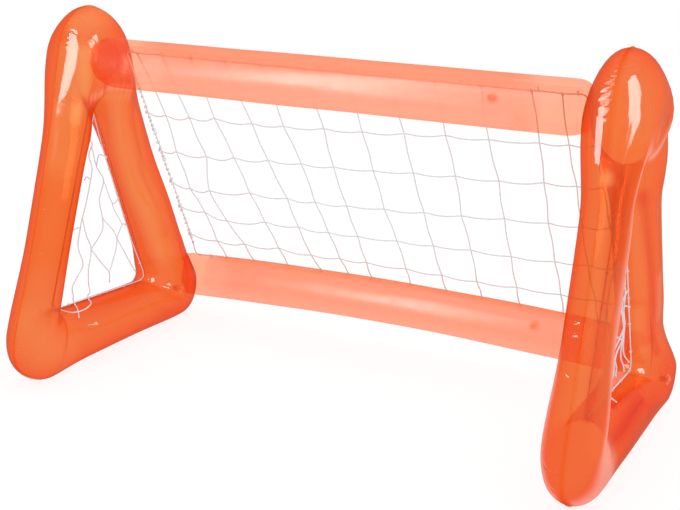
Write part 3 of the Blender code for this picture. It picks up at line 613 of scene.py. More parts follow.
# Heights on the front seam of gathers that are known one by one: (height, depth, reach).
GATHERS = {
    LEFT: (
        (0.799, 0.0011, 0.036), (0.792, 0.0014, 0.040), (0.785, 0.0011, 0.036), (0.778, 0.0015, 0.040), (0.768, 0.0010, 0.026), (0.757, 0.0013, 0.034), (0.745, 0.0009, 0.026), (0.731, 0.0007, 0.022),
        (0.130, 0.0011, 0.032), (0.112, 0.0012, 0.036), (0.092, 0.0011, 0.032), (0.070, 0.0013, 0.036), (0.050, 0.0010, 0.030),
    ),
    RIGHT: (
        (0.795, 0.0010, 0.030), (0.786, 0.0012, 0.032), (0.778, 0.0011, 0.034), (0.771, 0.0015, 0.038), (0.764, 0.0013, 0.036), (0.757, 0.0016, 0.038), (0.750, 0.0013, 0.034),
        (0.743, 0.0016, 0.038), (0.736, 0.0012, 0.034), (0.728, 0.0015, 0.036), (0.719, 0.0012, 0.032), (0.709, 0.0008, 0.024),
        (0.142, 0.0013, 0.044), (0.127, 0.0016, 0.050), (0.111, 0.0014, 0.048), (0.096, 0.0016, 0.050), (0.080, 0.0014, 0.044), (0.062, 0.0012, 0.038),
    ),
}
# Short pinches in the sheet on the inner side of the front legs, a little way from the seam.
PINCHES = {
    LEFT: ((0.399, 0.028), (0.391, 0.030), (0.384, 0.027), (0.309, 0.027)),
    RIGHT: ((0.366, 0.020), (0.359, 0.024), (0.343, 0.022), (0.337, 0.020), (0.269, 0.024)),
}


def seam_puckers(seed, x_mid):
    """Where the sheet gathers along the outer seam: place, depth, reach, lean, width."""
    rng = np.random.RandomState(seed)
    out = []
    known = []
    for z, depth, reach in GATHERS[x_mid]:
        s = front_seam_at(z)
        known.append(s)
        out.append((s, depth, reach, rng.uniform(-0.12, 0.12), rng.uniform(0.0013, 0.0017)))
    known = np.array(known)
    s = 0.0
    while s < OUT_LENGTH:
        bend = float(np.interp(s, OUT_S, BEND))
        if bend > 0.25:
            if np.abs(around(known, s, OUT_LENGTH)).min() > 0.012:
                out.append((s, 0.0013 * bend * rng.uniform(0.35, 1.15), rng.uniform(0.014, 0.040) * (0.6 + 0.4 * bend), rng.uniform(-0.35, 0.35), rng.uniform(0.0014, 0.0020)))
            s += rng.uniform(0.0062, 0.0115)
        else:
            if rng.uniform() < 0.30:
                out.append((s, 0.0004 * rng.uniform(0.5, 1.0), rng.uniform(0.008, 0.020), rng.uniform(-0.3, 0.3), 0.0016))
            s += rng.uniform(0.016, 0.034)
    return out


# Strokes on a panel: what, way over (y, z) in the frame's own plane or (x, y, z) with x out of
# it, width, amount. The warm pale strokes are painted light where the sheet catches light, the whitish ones are
# painted highlights along folds, and the deeper-tinted ones are partly the sheet lying double at a weld and partly
# painted shade.
STROKES = {
    (LEFT, 1): (
        ("painted_warm_light", ((0.016, 0.605), (0.047, 0.527), (0.105, 0.367), (0.160, 0.199)), 0.026, 0.150),
        ("painted_warm_light", ((-0.125, 0.600), (-0.150, 0.500)), 0.030, 0.085),
        ("painted_warm_light", ((-0.290, 0.150), (-0.245, 0.090), (-0.200, 0.065)), 0.040, 0.100),
        ("painted_warm_light", ((-0.160, 0.070), (0.060, 0.075)), 0.030, 0.040),
        ("painted_warm_light", ((-0.068, 0.725), (-0.083, 0.650)), 0.017, 0.240),
        ("painted_warm_light", ((-0.055, 0.795), (0.030, 0.800)), 0.020, 0.110),
        ("painted_warm_light", ((-0.101, 0.610), (-0.106, 0.585)), 0.009, 0.260),
        ("painted_warm_light", ((0.104, 0.559), (0.127, 0.461), (0.158, 0.333)), 0.006, 0.070),
        ("painted_pale_light", ((-0.064, 0.612), (-0.050, 0.624), (-0.010, 0.631), (0.012, 0.636), (0.035, 0.634), (0.064, 0.626)), 0.0055, 0.170),
        ("painted_warm_light", ((0.010, 0.612), (0.060, 0.607)), 0.010, 0.170),
        ("deep_tint_and_shade", ((0.008, 0.592), (0.026, 0.541), (0.042, 0.475), (0.063, 0.410), (0.084, 0.342), (0.112, 0.260), (0.145, 0.170)), 0.0075, 0.450),
        ("deep_tint_and_shade", ((0.070, 0.605), (0.101, 0.516), (0.124, 0.400), (0.150, 0.315), (0.178, 0.235)), 0.0060, 0.300),
        ("deep_tint_and_shade", ((-0.135, 0.130), (0.090, 0.112)), 0.011, 0.260),
    ),
    (RIGHT, 1): (
        ("painted_warm_light", ((0.150, 0.420), (0.235, 0.220)), 0.022, 0.070),
        ("painted_warm_light", ((0.103, 0.260), (0.133, 0.170)), 0.014, 0.150),
        ("painted_warm_light", ((0.045, 0.490), (0.105, 0.310)), 0.018, 0.080),
        ("painted_warm_light", ((-0.055, 0.632), (-0.078, 0.600), (-0.090, 0.540), (-0.105, 0.490), (-0.125, 0.440)), 0.012, 0.120),
        ("painted_warm_light", ((0.005, -0.127, 0.609), (0.005, -0.128, 0.603)), 0.0085, 0.270),
        ("painted_warm_light", ((-0.240, 0.325), (-0.215, 0.370)), 0.028, 0.070),
        ("painted_pale_light", ((0.074, 0.045, 0.668), (0.070, 0.041, 0.656), (0.062, 0.029, 0.631), (0.048, 0.018, 0.613)), 0.0065, 0.300),
        ("painted_pale_light", ((0.150, 0.330), (0.172, 0.240)), 0.010, 0.085),
        ("deep_tint_and_shade", ((0.022, -0.129, 0.587), (0.024, -0.141, 0.544), (0.027, -0.161, 0.484), (0.027, -0.186, 0.416), (0.026, -0.208, 0.357), (0.028, -0.230, 0.298), (0.028, -0.259, 0.231), (0.030, -0.272, 0.198)), 0.0050, 0.560),
        ("deep_tint_and_shade", ((0.030, -0.117, 0.610), (0.036, -0.122, 0.568), (0.036, -0.144, 0.499), (0.034, -0.174, 0.432)), 0.0075, 0.520),
        ("deep_tint_and_shade", ((0.034, -0.174, 0.432), (0.033, -0.200, 0.364), (0.032, -0.226, 0.297), (0.032, -0.254, 0.230)), 0.0062, 0.460),
        ("deep_tint_and_shade", ((0.032, 0.034, 0.533), (0.034, 0.071, 0.452), (0.037, 0.099, 0.382), (0.039, 0.134, 0.285), (0.040, 0.166, 0.184), (0.046, 0.170, 0.156)), 0.0078, 0.850),
        ("deep_tint_and_shade", ((0.047, -0.185, 0.112), (0.051, -0.122, 0.110), (0.050, -0.048, 0.110), (0.047, 0.045, 0.104)), 0.0120, 0.900),
        ("deep_tint_and_shade", ((0.018, -0.070, 0.136), (0.030, 0.020, 0.122), (0.034, 0.085, 0.114)), 0.0080, 0.700),
        ("deep_tint_and_shade", ((0.060, 0.060, 0.085), (0.060, 0.160, 0.100), (0.055, 0.190, 0.120)), 0.0240, 0.350),
        ("painted_warm_light", ((-0.020, 0.720), (-0.120, 0.450), (-0.225, 0.140)), 0.050, 0.070),
        ("painted_warm_light", ((0.060, 0.640), (0.140, 0.400), (0.200, 0.190)), 0.040, 0.065),
    ),
    (RIGHT, -1): (
        ("painted_warm_light", ((0.005, -0.127, 0.609), (0.005, -0.128, 0.603)), 0.0085, 0.270),
    ),
}


def painted_edge_light(x_mid, side, y, z):
    """Painted highlight: how far the film's turned edge is painted pale instead of dark."""
    if x_mid < 0:
        return np.zeros_like(y)
    if side < 0:
        return ease((0.34 - z) / 0.12)
    foot = ease((0.14 - z) / 0.06) * ease((-0.155 - y) / 0.05) * (0.35 + 0.65 * ease((z - 0.045) / 0.05))
    return np.maximum(foot, ease((0.03 - y) / 0.05) * ease((0.69 - z) / 0.06) * np.maximum(ease((z - 0.15) / 0.05), ease((-0.165 - y) / 0.04)))


def matt_film(x_mid, side, x, y, z):
    """Handled, duller film on the front legs, below the apex lobes."""
    if side < 0:
        return 0.0
    front = ease((0.03 - y) / 0.03)
    if x_mid < 0:
        return 0.93 * front * ease((0.603 - z) / 0.012) * ease((z - 0.24) / 0.06)
    below = np.maximum(ease((0.670 - z) / 0.014), ease((0.0375 - x) / 0.006) * ease((0.706 - z) / 0.016))
    return 0.93 * front * ease((x - 0.011) / 0.008) * below * ease((z - 0.42) / 0.06)


# Where the swell of a sheet departs from the plain form: the corner that the edge starts
# at, how far along the edge, spread, amount, and whether on the hole's side only.
SWELLS = {
    (LEFT, 1): (
        (0, 0.075, 0.060, -0.021, True), (1, 0.10, 0.17, -0.012, False),
        (1, 0.88, 0.12, 0.009, False), (2, 0.30, 0.08, 0.005, False), (2, 0.54, 0.10, -0.014, False), (2, 0.76, 0.08, -0.006, False),
    ),
    (RIGHT, 1): (
        (0, 0.113, 0.090, -0.019, True), (2, 0.10, 0.07, -0.008, False), (2, 0.79, 0.07, 0.006, False),
        (2, 0.95, 0.05, -0.006, False), (2, 1.12, 0.10, 0.003, False),
    ),
    (RIGHT, -1): ((0, -0.60, 0.42, -0.006, False),),
}

VALVE_POINT, VALVE_AXIS, VALVE_ACROSS = {}, {}, {}
for j in frame["joints"]:
    prefix, kind = j["name"].rsplit("_", 2)[0], j["name"].rsplit("_", 2)[1:]
    if kind == ["valve", "pull"]:
        VALVE_AXIS[prefix] = Vector(j["axis"]).normalized()
for j in frame["joints"]:
    prefix, kind = j["name"].rsplit("_", 2)[0], j["name"].rsplit("_", 2)[1:]
    if kind == ["plug", "hinge"]:
        local_y = Vector(j["axis"]).normalized()
        z = VALVE_AXIS[prefix]
        VALVE_ACROSS[prefix] = local_y.cross(z).normalized()
        VALVE_POINT[prefix] = Vector(j["pos_m"]) - VALVE_ACROSS[prefix] * HINGE_R - z * (0.0040 + 0.0003 + 0.0005)


def film_near_valve(points, prefix, flat=True):
    """Film round a valve lies against its base, with creases that fan out from it."""
    c, z = np.array(VALVE_POINT[prefix]), np.array(VALVE_AXIS[prefix])
    x = np.array(VALVE_ACROSS[prefix])
    y = np.cross(z, x)
    d = points - c
    h = d @ z
    u, v = d @ x, d @ y
    rho, phi = np.hypot(u, v), np.arctan2(v, u)
    near = np.abs(h) < 0.030
    w = (1 - ease((rho - 0.0125) / 0.016)) * near
    crease = 0.0011 * np.sin(7 * phi + 0.8 + 1.3 * np.sin(2 * phi)) * np.exp(-(((rho - 0.021) / 0.0085) ** 2)) * near
    crease += 0.0006 * np.sin(11 * phi + 2.1) * np.exp(-(((rho - 0.027) / 0.010) ** 2)) * near
    shift = (-0.0002 - h) * w + crease
    return points + shift[..., None] * z, rho, near, (c, x, y, z)


def crumple(points, c, normal, amount, seed):
    """A small star of creases in the sheet round c."""
    rng = np.random.RandomState(seed)
    z = np.array(normal, float)
    z /= np.linalg.norm(z)
    x = np.cross([0.3, 0.1, 0.9], z)
    x /= np.linalg.norm(x)
    y = np.cross(z, x)
    d = points - np.array(c)
    h, u, v = d @ z, d @ x, d @ y
    rho, phi = np.hypot(u, v), np.arctan2(v, u)
    near = (np.abs(h) < 0.03) & (rho < 0.05)
    wave = 0
    for k in range(6):
        a, width = rng.uniform(-math.pi, math.pi), rng.uniform(0.16, 0.34)
        da = (phi - a + math.pi) % (2 * math.pi) - math.pi
        run = rng.uniform(0.010, 0.019)
        wave = wave + rng.choice([-1.0, -1.0, 0.8]) * np.exp(-np.abs(da / width) ** 1.3) * (rho / 0.004) * np.exp(-rho / (run * 0.45))
    return points + (amount * wave * near)[..., None] * z


def cut_round_hole(verts, faces, rho, near, about, radius=0.0076):
    """Opens the film for a valve: faces inside go, and the rim is drawn to the circle."""
    c, x, y, z = about
    rho, near = rho.ravel(), near.ravel()
    inside = near & (rho < radius)
    keep = ~inside[faces].all(1)
    gone = faces[~keep]
    faces = faces[keep]
    rim = np.intersect1d(np.unique(gone), np.unique(faces)) if len(gone) else np.zeros(0, int)
    touching = np.unique(faces[inside[faces].any(1)])
    for i in np.union1d(rim, touching[inside[touching]]).astype(int):
        d = verts[i] - c
        u, v = d @ x, d @ y
        r = math.hypot(u, v) or 1.0
        verts[i] = c + (x * u + y * v) * (radius / r) - z * 0.0004
    return verts, faces, keep


# ---------------------------------------------------------------- end frames
def bar_centre(which, x):
    if which == "cross":
        return CROSS_AXIS
    s = 1 - (np.asarray(x) / (SPACING / 2)) ** 2
    return REAR_AXIS + NET_UP * (REAR_BAR_RISE * s)[..., None] if np.ndim(s) else REAR_AXIS + NET_UP * (REAR_BAR_RISE * s)


CROSS_AXIS = np.array([CROSSBAR["y"] - MIDDLE_Y, CROSSBAR["z"]])
REAR_AXIS = np.array([REAR_BAR["y"] - MIDDLE_Y, REAR_BAR["z"]])
SLOPE = float(np.hypot(*(CROSS_AXIS - REAR_AXIS)))
NET_UP = (CROSS_AXIS - REAR_AXIS) / SLOPE
NET_OUT = np.array([NET_UP[1], -NET_UP[0]])


def bar_end(y, half):
    middle = SPACING / 2 - math.sin(TOE) * y
    return middle - half, middle


CROSS_WELD, CROSS_MID = bar_end(CROSS_AXIS[0], APEX["half"])
REAR_WELD, REAR_MID = bar_end(REAR_AXIS[0], REAR["half"])
CROSS_NECK, REAR_NECK = CROSSBAR["r"] - 0.0125, REAR_BAR["r"] - NECK
CROSS_SAG, REAR_TILT = 0.0034, 0.0030


def frame_panel(name, x_mid, side, seed):
    """One film sheet of an end frame, from fin to fin, with its puckers and creases."""
    rng = np.random.RandomState(seed)
    ct, st = np.cos(ANGLES), np.sin(ANGLES)
    near = 0.00022
    plane = MID[:, None, :] + OUTWARD[:, None, :] * (WIDE[:, None] * ct)[..., None]
    x = near + (HALF[:, None] - near) * st
    for corner, t, spread, amount, inward in SWELLS.get((x_mid, side), ()):
        length = EDGE_STEPS[corner]
        away = around(np.arange(ROWS), FIRST[2 * corner + 1] + t * length, ROWS) / (spread * length)
        share = ease((ANGLES - math.radians(70)) / math.radians(28)) if inward else 1.0
        x = x + amount * np.exp(-0.5 * away[:, None] ** 2) * st * share
    x = np.maximum(x, near)
    nx = WIDE[:, None] * st
    ne = HALF[:, None] * ct
    size = np.hypot(nx, ne)
    nx, ne = nx / size, ne / size
    # way over the swell from the outer seam, and from the inner one
    step = np.hypot(np.diff(x, axis=1), np.diff(WIDE[:, None] * ct, axis=1))
    out_d = np.concatenate([np.zeros((ROWS, 1)), np.cumsum(step, 1)], 1)
    in_d = out_d[:, -1:] - out_d

    # puckers of the outer seam; both sheets gather at the same places, and the fin
    # weaves a little from side to side between them
    disp = np.zeros_like(x)
    weave = np.zeros(ROWS)
    shared = seam_puckers(71 if x_mid < 0 else 72, x_mid)
    own = np.random.RandomState(seed + 5)
    calm = side * x_mid > 0
    for i, (s0, depth, reach, lean, width) in enumerate(shared):
        ds = around(OUT_S, s0, OUT_LENGTH)
        depth_i, reach_i = depth * own.uniform(0.75, 1.25), reach * own.uniform(0.7, 1.3)
        if calm:
            depth_i, reach_i = depth_i * 0.55, reach_i * 0.48
        lean_i = lean + own.uniform(-0.10, 0.10)
        hot = np.abs(ds) < 0.030
        d = out_d[hot]
        q = ds[hot][:, None] - lean_i * d
        w = width + 0.034 * d
        f = ease(1.6 * (1 - d / reach_i))
        disp[hot] -= depth_i * np.exp(-0.5 * (q / w) ** 2) * f * (0.35 + 0.65 * ease(d / 0.004))
        weave += depth * 0.30 * (1 if i % 2 else -1) * np.exp(-0.5 * (ds / 0.0042) ** 2)
    if side * x_mid < 0:
        for z, away in PINCHES[x_mid]:
            ds = around(OUT_S, front_seam_at(z), OUT_LENGTH)
            q = ds[:, None] - own.uniform(-0.25, 0.25) * (out_d - away)
            run = ease(1.7 * (1 - np.abs(out_d - away) / own.uniform(0.017, 0.024)))
            disp -= 0.0014 * np.exp(-0.5 * (q / 0.0019) ** 2) * run
    # soft folds that lie along the tube: (edge, from, to, how far round, drift, depth, width)
    for k in range(3):
        a, b = OUT_S[FIRST[2 * k + 1]], (OUT_S[FIRST[2 * k + 2]] if k < 2 else OUT_LENGTH)
        for _ in range((2, 5, 5)[k]):
            mid, run = rng.uniform(0.15, 0.85), rng.uniform(0.14, 0.34)
            t = (OUT_S - a) / (b - a)
            window = np.clip(1 - np.abs((t - mid) / run), 0, 1) ** 0.7
            at = rng.uniform(0.18, 0.88) + rng.uniform(-0.10, 0.10) * (t - mid) / run
            share = out_d / out_d[:, -1:]
            width = rng.uniform(0.022, 0.050)
            disp -= rng.uniform(0.0003, 0.0009) * window[:, None] * np.exp(-0.5 * ((share - at[:, None]) / width) ** 2)
    # pull lines that fan out of the hole's corners
    for k in range(3):
        arc = IN_S[FIRST[2 * k]], IN_S[FIRST[2 * k + 1]]
        for f0 in rng.uniform(0.05, 0.95, 5):
            s0 = arc[0] + (arc[1] - arc[0]) * f0
            ds = around(IN_S, s0, IN_LENGTH)
            reach = rng.uniform(0.035, 0.065)
            w = 0.0016 + 0.05 * in_d
            amount = rng.uniform(0.0005, 0.0011)
            disp -= amount * np.exp(-0.5 * (ds[:, None] / w) ** 2) * np.clip(1 - in_d / reach, 0, 1) * ease(in_d / 0.006)
    # long slack waves that run along the tube
    for _ in range(7):
        a, b, p = rng.uniform(6, 28), rng.uniform(-4, 4), rng.uniform(0, 2 * math.pi)
        turns = max(1, round(a * OUT_LENGTH / (2 * math.pi)))
        phase = 2 * math.pi * turns * (OUT_S / OUT_LENGTH)[:, None] + b * ANGLES[None, :] * 2 + p
        disp += 0.00016 * np.sin(phase) * st

    inplane = plane + OUTWARD[:, None, :] * (disp * ne)[..., None]
    x = np.maximum(x + disp * nx, near)
    swing = weave[:, None] * np.exp(-out_d / 0.007)
    x = side * x + swing

    # fins
    def fin(sign, distance, level):
        p = MID + sign * OUTWARD * (WIDE + distance)[:, None]
        shift = weave * (1 + 60 * distance) if sign > 0 else 0 * weave
        return p, side * level + shift

    flats = [fin(1, np.full(ROWS, d), near) for d in (FIN, FIN * 0.5, 0.0004)]
    ends = [fin(-1, np.full(ROWS, d), near) for d in (0.0004, INNER_FIN * 0.5, INNER_FIN)]
    P = np.concatenate(
        [np.stack([p for p, _ in flats], 1), inplane, np.stack([p for p, _ in ends], 1)], 1
    )
    if x_mid > 0:
        # the right apex lobe has settled a little backwards
        P[..., 0] += 0.0032 * ease((P[..., 1] - 0.64) / 0.08) * ease((P[..., 0] - 0.02) / 0.05)
        P[..., 0] += 0.0034 * ease((P[..., 1] - 0.58) / 0.12) + 0.0012 * ease((P[..., 1] - 0.22) / 0.10) * ease((0.58 - P[..., 1]) / 0.10) * np.sign(P[..., 0] - 0.02)
    X = np.concatenate([np.stack([q for _, q in flats], 1), x, np.stack([q for _, q in ends], 1)], 1)
    cols = P.shape[1]
    # pressed flat on the floor; the fin there folds over sideways
    lost = np.maximum(0.0, 0.0003 - P[..., 1])
    folded = np.zeros_like(X)
    folded[:, :3] = side * np.minimum(lost[:, :3], FIN)
    Z = np.where(P[..., 1] < 0.0003, 0.0003 + (P[..., 1] - 0.0003) * 0.02, P[..., 1])
    Z = np.maximum(Z, 0.00008)
    local = np.stack([X + folded, P[..., 0], Z], -1)
    world_points = to_world(local, x_mid)

    # where a bar is welded on, its pull leaves a shallow ring and short creases
    if side * x_mid < 0:
        for centre, neck, dent in ((CROSS_AXIS, CROSS_NECK, 0.0), (REAR_AXIS, REAR_NECK, 0.005)):
            dy, dz = world_points[..., 1] - centre[0], world_points[..., 2] - centre[1]
            rho, phi = np.hypot(dy, dz), np.arctan2(dz, dy)
            mask = (np.sign(-x_mid) * (world_points[..., 0] - x_mid) > 0.012)
            ring = -0.0011 * np.exp(-(((rho - neck) / 0.0035) ** 2))
            fan = 0.0006 * np.sin(17 * phi + 1.7 * np.sin(3 * phi) + seed) * np.exp(-(((rho - neck - 0.008) / 0.007) ** 2)) * (rho > neck)
            belly = 0.0012 * np.clip(1 - (rho / neck) ** 2, 0, 1)
            belly += dent * (1 - ease((rho - neck + 0.006) / 0.052))
            world_points[..., 0] += np.sign(-x_mid) * (ring + fan - belly) * mask

    if x_mid < 0 and side > 0:
        world_points = crumple(world_points, (-0.5770, 0.1380, 0.1020), (0.62, -0.12, 0.77), 0.00115, 81)
    if x_mid > 0 and side > 0:
        world_points = crumple(world_points, (0.6420, 0.1400, 0.1190), (0.40, -0.40, 0.80), 0.00050, 84)

    u = np.repeat(OUT_S[:, None], cols, 1)
    v = np.concatenate([-np.ones((ROWS, 3)) * 0.002, out_d, out_d[:, -1:] + 0.002 * np.ones((ROWS, 3))], 1)
    uvs = np.stack([u, v], -1).reshape(-1, 2)
    faces = grid_faces(ROWS, cols, True, False)
    slots = np.zeros((ROWS, cols - 1), dtype=int)
    slots[:, :3] = 2
    slots[:, -3:] = 1
    slots = slots.ravel()
    prefix = {(LEFT, 1): "left_frame", (RIGHT, 1): "right_frame"}.get((x_mid, side))
    if prefix:
        world_points, rho, near_valve, about = film_near_valve(world_points, prefix)
        verts = world_points.reshape(-1, 3)
        verts, faces, keep = cut_round_hole(verts, faces, rho, near_valve, about)
        slots = slots[keep]
    else:
        verts = world_points.reshape(-1, 3)
    obj = mesh_from(name, verts, faces, [frame_film, frame_weld, frame_fin], slots, uvs)
    marks = {"painted_warm_light": 0, "painted_pale_light": 0, "deep_tint_and_shade": 0}
    for what, way, width, amount in STROKES.get((x_mid, side), ()):
        at = P if len(way[0]) == 2 else np.concatenate([X[..., None], P], -1)
        for a, b in zip(way, way[1:]):
            a, b = np.array(a), np.array(b)
            t = np.clip(((at - a) @ (b - a)) / ((b - a) @ (b - a)), 0, 1)
            away = np.linalg.norm(at - (a + t[..., None] * (b - a)), axis=-1)
            marks[what] = np.maximum(marks[what], amount * np.exp(-0.5 * (away / width) ** 2))
    # painted highlight along the turned edge
    marks["painted_edge_light"] = painted_edge_light(x_mid, side, P[..., 0], P[..., 1]) * ease((v - 0.006) / 0.012)
    # next to the outer weld the sheet is dulled
    marks["matt"] = np.maximum(0.95 * ease((0.0065 - v) / 0.003), matt_film(x_mid, side, X, P[..., 0], P[..., 1]))
    for what, value in marks.items():
        if np.ndim(value):
            layer = obj.data.attributes.new(what, "FLOAT", "POINT")
            layer.data.foreach_set("value", value.ravel().astype(np.float32))
    middle = frame_place(x_mid)
    out = (middle.to_3x3() @ Vector((side, 0, 0))).normalized()
    turn_outward(obj, lambda c: c - out * 0.01)
    return obj


PANELS = {}
for key, x_mid, side, seed in (
    ("left_frame_inner_panel", LEFT, 1, 11),
    ("left_frame_outer_panel", LEFT, -1, 12),
    ("right_frame_inner_panel", RIGHT, -1, 13),
    ("right_frame_outer_panel", RIGHT, 1, 14),
):
    obj = frame_panel(key + "_film", x_mid, side, seed)
    PANELS[key] = obj
    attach(obj, "root")
    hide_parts(key)


# ---------------------------------------------------------------- bars
def tree_of(obj):
    m = obj.data
    return BVHTree.FromPolygons([v.co.copy() for v in m.vertices], [tuple(p.vertices) for p in m.polygons])


FACES = {-1: tree_of(PANELS["left_frame_inner_panel"]), 1: tree_of(PANELS["right_frame_inner_panel"])}


def lobe_x(side, y, z):
    """x of the end frame's inner face at (y, z)."""
    hit = FACES[side].ray_cast(Vector((side * 0.45, y, z)), Vector((side, 0, 0)))[0]
    return hit.x if hit else side * 0.60


AROUND = 72


def bar_film_piece(name, which, radius, neck, seed):
    rng = np.random.RandomState(seed)
    ang = 2 * math.pi * np.arange(AROUND) / AROUND
    cy, sy = np.cos(ang), np.sin(ang)
    base = CROSS_AXIS if which == "cross" else REAR_AXIS
    fuller = 0.0010 if which == "cross" else 0.0
    reach = {}
    for side in (-1, 1):
        reach[side] = np.array([abs(lobe_x(side, base[0] + neck * c, base[1] + neck * s)) for c, s in zip(cy, sy)]) - 0.0004
    # distance from the weld, then evenly over the middle
    near = np.array([0, 0.0008, 0.002, 0.0036, 0.0055, 0.008, 0.011, 0.0145, 0.0185, 0.023, 0.028, 0.034, 0.041, 0.05, 0.061])
    inner = np.linspace(0, 1, 46)[1:-1]
    verts, u, v = [], [], []
    puck = [(rng.uniform(0, 2 * math.pi), rng.uniform(0.4, 1.0), rng.uniform(0.012, 0.040), rng.uniform(0.05, 0.11)) for _ in range(46)]
    waves = [(rng.uniform(4, 22), rng.randint(1, 6), rng.uniform(0, 2 * math.pi), rng.uniform(0.4, 1)) for _ in range(9)]

    def station(side, d):
        """Ring at distance d from the weld on one side."""
        x = side * (reach[side] - d)
        r = radius - (radius - neck) * (1 - math.sqrt(1 - max(0.0, 1 - d / NECK_RUN) ** 2)) * np.ones(AROUND)
        for a0, depth, run, width in puck:
            da = (ang - a0 + math.pi) % (2 * math.pi) - math.pi
            w = width * (1 + 8 * d)
            r -= 0.0012 * depth * np.exp(-0.5 * (da / w) ** 2) * np.clip(1 - d / run, 0, 1) * ease(d / 0.003)
        return x, r + fuller * ease(d / 0.05)

    rows = []
    for d in near:
        rows.append(station(-1, d))
    lo = -(reach[-1] - near[-1])
    hi = reach[1] - near[-1]
    for f in inner:
        rows.append((lo + (hi - lo) * f, np.full(AROUND, radius + fuller)))
    for d in near[::-1]:
        rows.append(station(1, d))
    X = np.stack([r[0] for r in rows])
    R = np.stack([r[1] for r in rows])
    for a, b, p, k in waves:
        R = R + 0.00022 * k * np.sin(a * X + b * ang[None, :] + p) * ease((np.minimum(X - X[0], X[-1] - X)) / 0.05)
    C = bar_centre(which, X[:, :1] * np.ones_like(X)) if which == "rear" else np.broadcast_to(CROSS_AXIS, X.shape + (2,))
    # rings near an end stand on that end's own axis point
    Y = C[..., 0] + R * cy
    Z = C[..., 1] + R * sy
    along_bar = X / (SPACING / 2)
    if which == "cross":
        Z = Z - CROSS_SAG * (0.62 - 0.38 * along_bar) * ease((1 - np.abs(along_bar) - 0.10) / 0.07)
        Y = Y - 0.0010 * ease((1 - np.abs(along_bar) - 0.10) / 0.07)
    else:
        Z = Z + REAR_TILT * along_bar * ease((1 - np.abs(along_bar) - 0.10) / 0.07)
    P = np.stack([X, Y, Z], -1)
    # a lap weld along the back, under the net strip
    back = math.atan2(NET_OUT[1], NET_OUT[0])
    da = (ang - back + math.pi) % (2 * math.pi) - math.pi
    lap = np.exp(-((da / 0.09) ** 4))
    P[..., 1] -= 0.0006 * lap * cy
    P[..., 2] -= 0.0006 * lap * sy
    # weld flange on the end frame's face
    flange = {}
    for side, row in ((-1, 0), (1, -1)):
        ring = []
        for k in range(AROUND):
            c = base
            r = neck + 0.0034
            y, z = c[0] + r * cy[k], c[1] + r * sy[k]
            ring.append((lobe_x(side, y, z) - side * 0.0005, y, z))
        flange[side] = np.array(ring)
    P = np.concatenate([flange[-1][None], P, flange[1][None]], 0)
    rows_n = P.shape[0]
    faces = grid_faces(rows_n, AROUND, False, True)
    slots = np.zeros((rows_n - 1, AROUND), dtype=int)
    slots[:2] = 1
    slots[-2:] = 1
    slots[:, np.abs(da) < 0.09] = 1
    along = np.concatenate([[0], np.cumsum(np.abs(np.diff(P[:, 0, 0])) + 1e-5)])
    uv = []
    for i in range(rows_n - 1):
        for k in range(AROUND):
            k2 = k + 1
            uv += [(along[i], radius * ang[k]), (along[i], radius * (2 * math.pi * k2 / AROUND)), (along[i + 1], radius * (2 * math.pi * k2 / AROUND)), (along[i + 1], radius * ang[k])]
    prefix = {"cross": "crossbar", "rear": "rear_bar"}[which]
    P, rho, near_valve, about = film_near_valve(P, prefix)
    verts, faces, keep = cut_round_hole(P.reshape(-1, 3), faces, rho, near_valve, about)
    uv = np.array(uv).reshape(-1, 4, 2)[keep].reshape(-1, 2)
    obj = mesh_from(name, verts, faces, [bar_film, bar_weld], slots.ravel()[keep], uv)

    # painted light: the lower side is painted paler, in place of the light it would get from below, and the crossbar's
    # film is deepened all round but there, as painted shade; next to the welds the film is clear
    points = P.reshape(-1, 3)
    level = np.stack([np.zeros(AROUND)] + [sy] * (rows_n - 2) + [np.zeros(AROUND)]).ravel()
    inwards = np.minimum(points[:, 0] - points[:, 0].min(), points[:, 0].max() - points[:, 0])
    for what, value in (
        ("painted_pale_light", 0.19 * ease((0.35 - level) / 1.1)),
        ("deep_tint_and_shade", np.maximum(0.85 * ease((0.150 - inwards) / 0.03), (0.10 if which == "cross" else 0.0) * ease((level + 0.7) / 0.4))),
    ):
        layer = obj.data.attributes.new(what, "FLOAT", "POINT")
        layer.data.foreach_set("value", (value * (1 - (what == "painted_pale_light") * ease((0.150 - inwards) / 0.03))).astype(np.float32))

    def axis_of(c):
        m = bar_centre(which, np.array(c.x)) if which == "rear" else CROSS_AXIS
        return Vector((c.x, float(m[0]), float(m[1])))

    return turn_outward(obj, axis_of)


def end_disc(name, which, side, neck):
    """The round of film that closes a bar's end, lying on the lobe it is welded to."""
    base = CROSS_AXIS if which == "cross" else REAR_AXIS
    rings = np.array([0.12, 0.3, 0.48, 0.64, 0.78, 0.89, 0.96, 1.0]) * (neck - 0.0006)
    verts = [(lobe_x(side, base[0], base[1]) - side * 0.0012, base[0], base[1])]
    for r in rings:
        for k in range(48):
            a = 2 * math.pi * k / 48
            y, z = base[0] + r * math.cos(a), base[1] + r * math.sin(a)
            verts.append((lobe_x(side, y, z) - side * 0.0010, y, z))
    faces = [(0, 1 + k, 1 + (k + 1) % 48) for k in range(48)]
    for i in range(len(rings) - 1):
        a, b = 1 + i * 48, 1 + (i + 1) * 48
        faces += [(a + k, b + k, b + (k + 1) % 48, a + (k + 1) % 48) for k in range(48)]
    obj = mesh_from(name, verts, faces, [disc_film], uvs=np.array(verts)[:, 1:])
    return turn_outward(obj, lambda c: c + Vector((side * 0.01, 0, 0)))


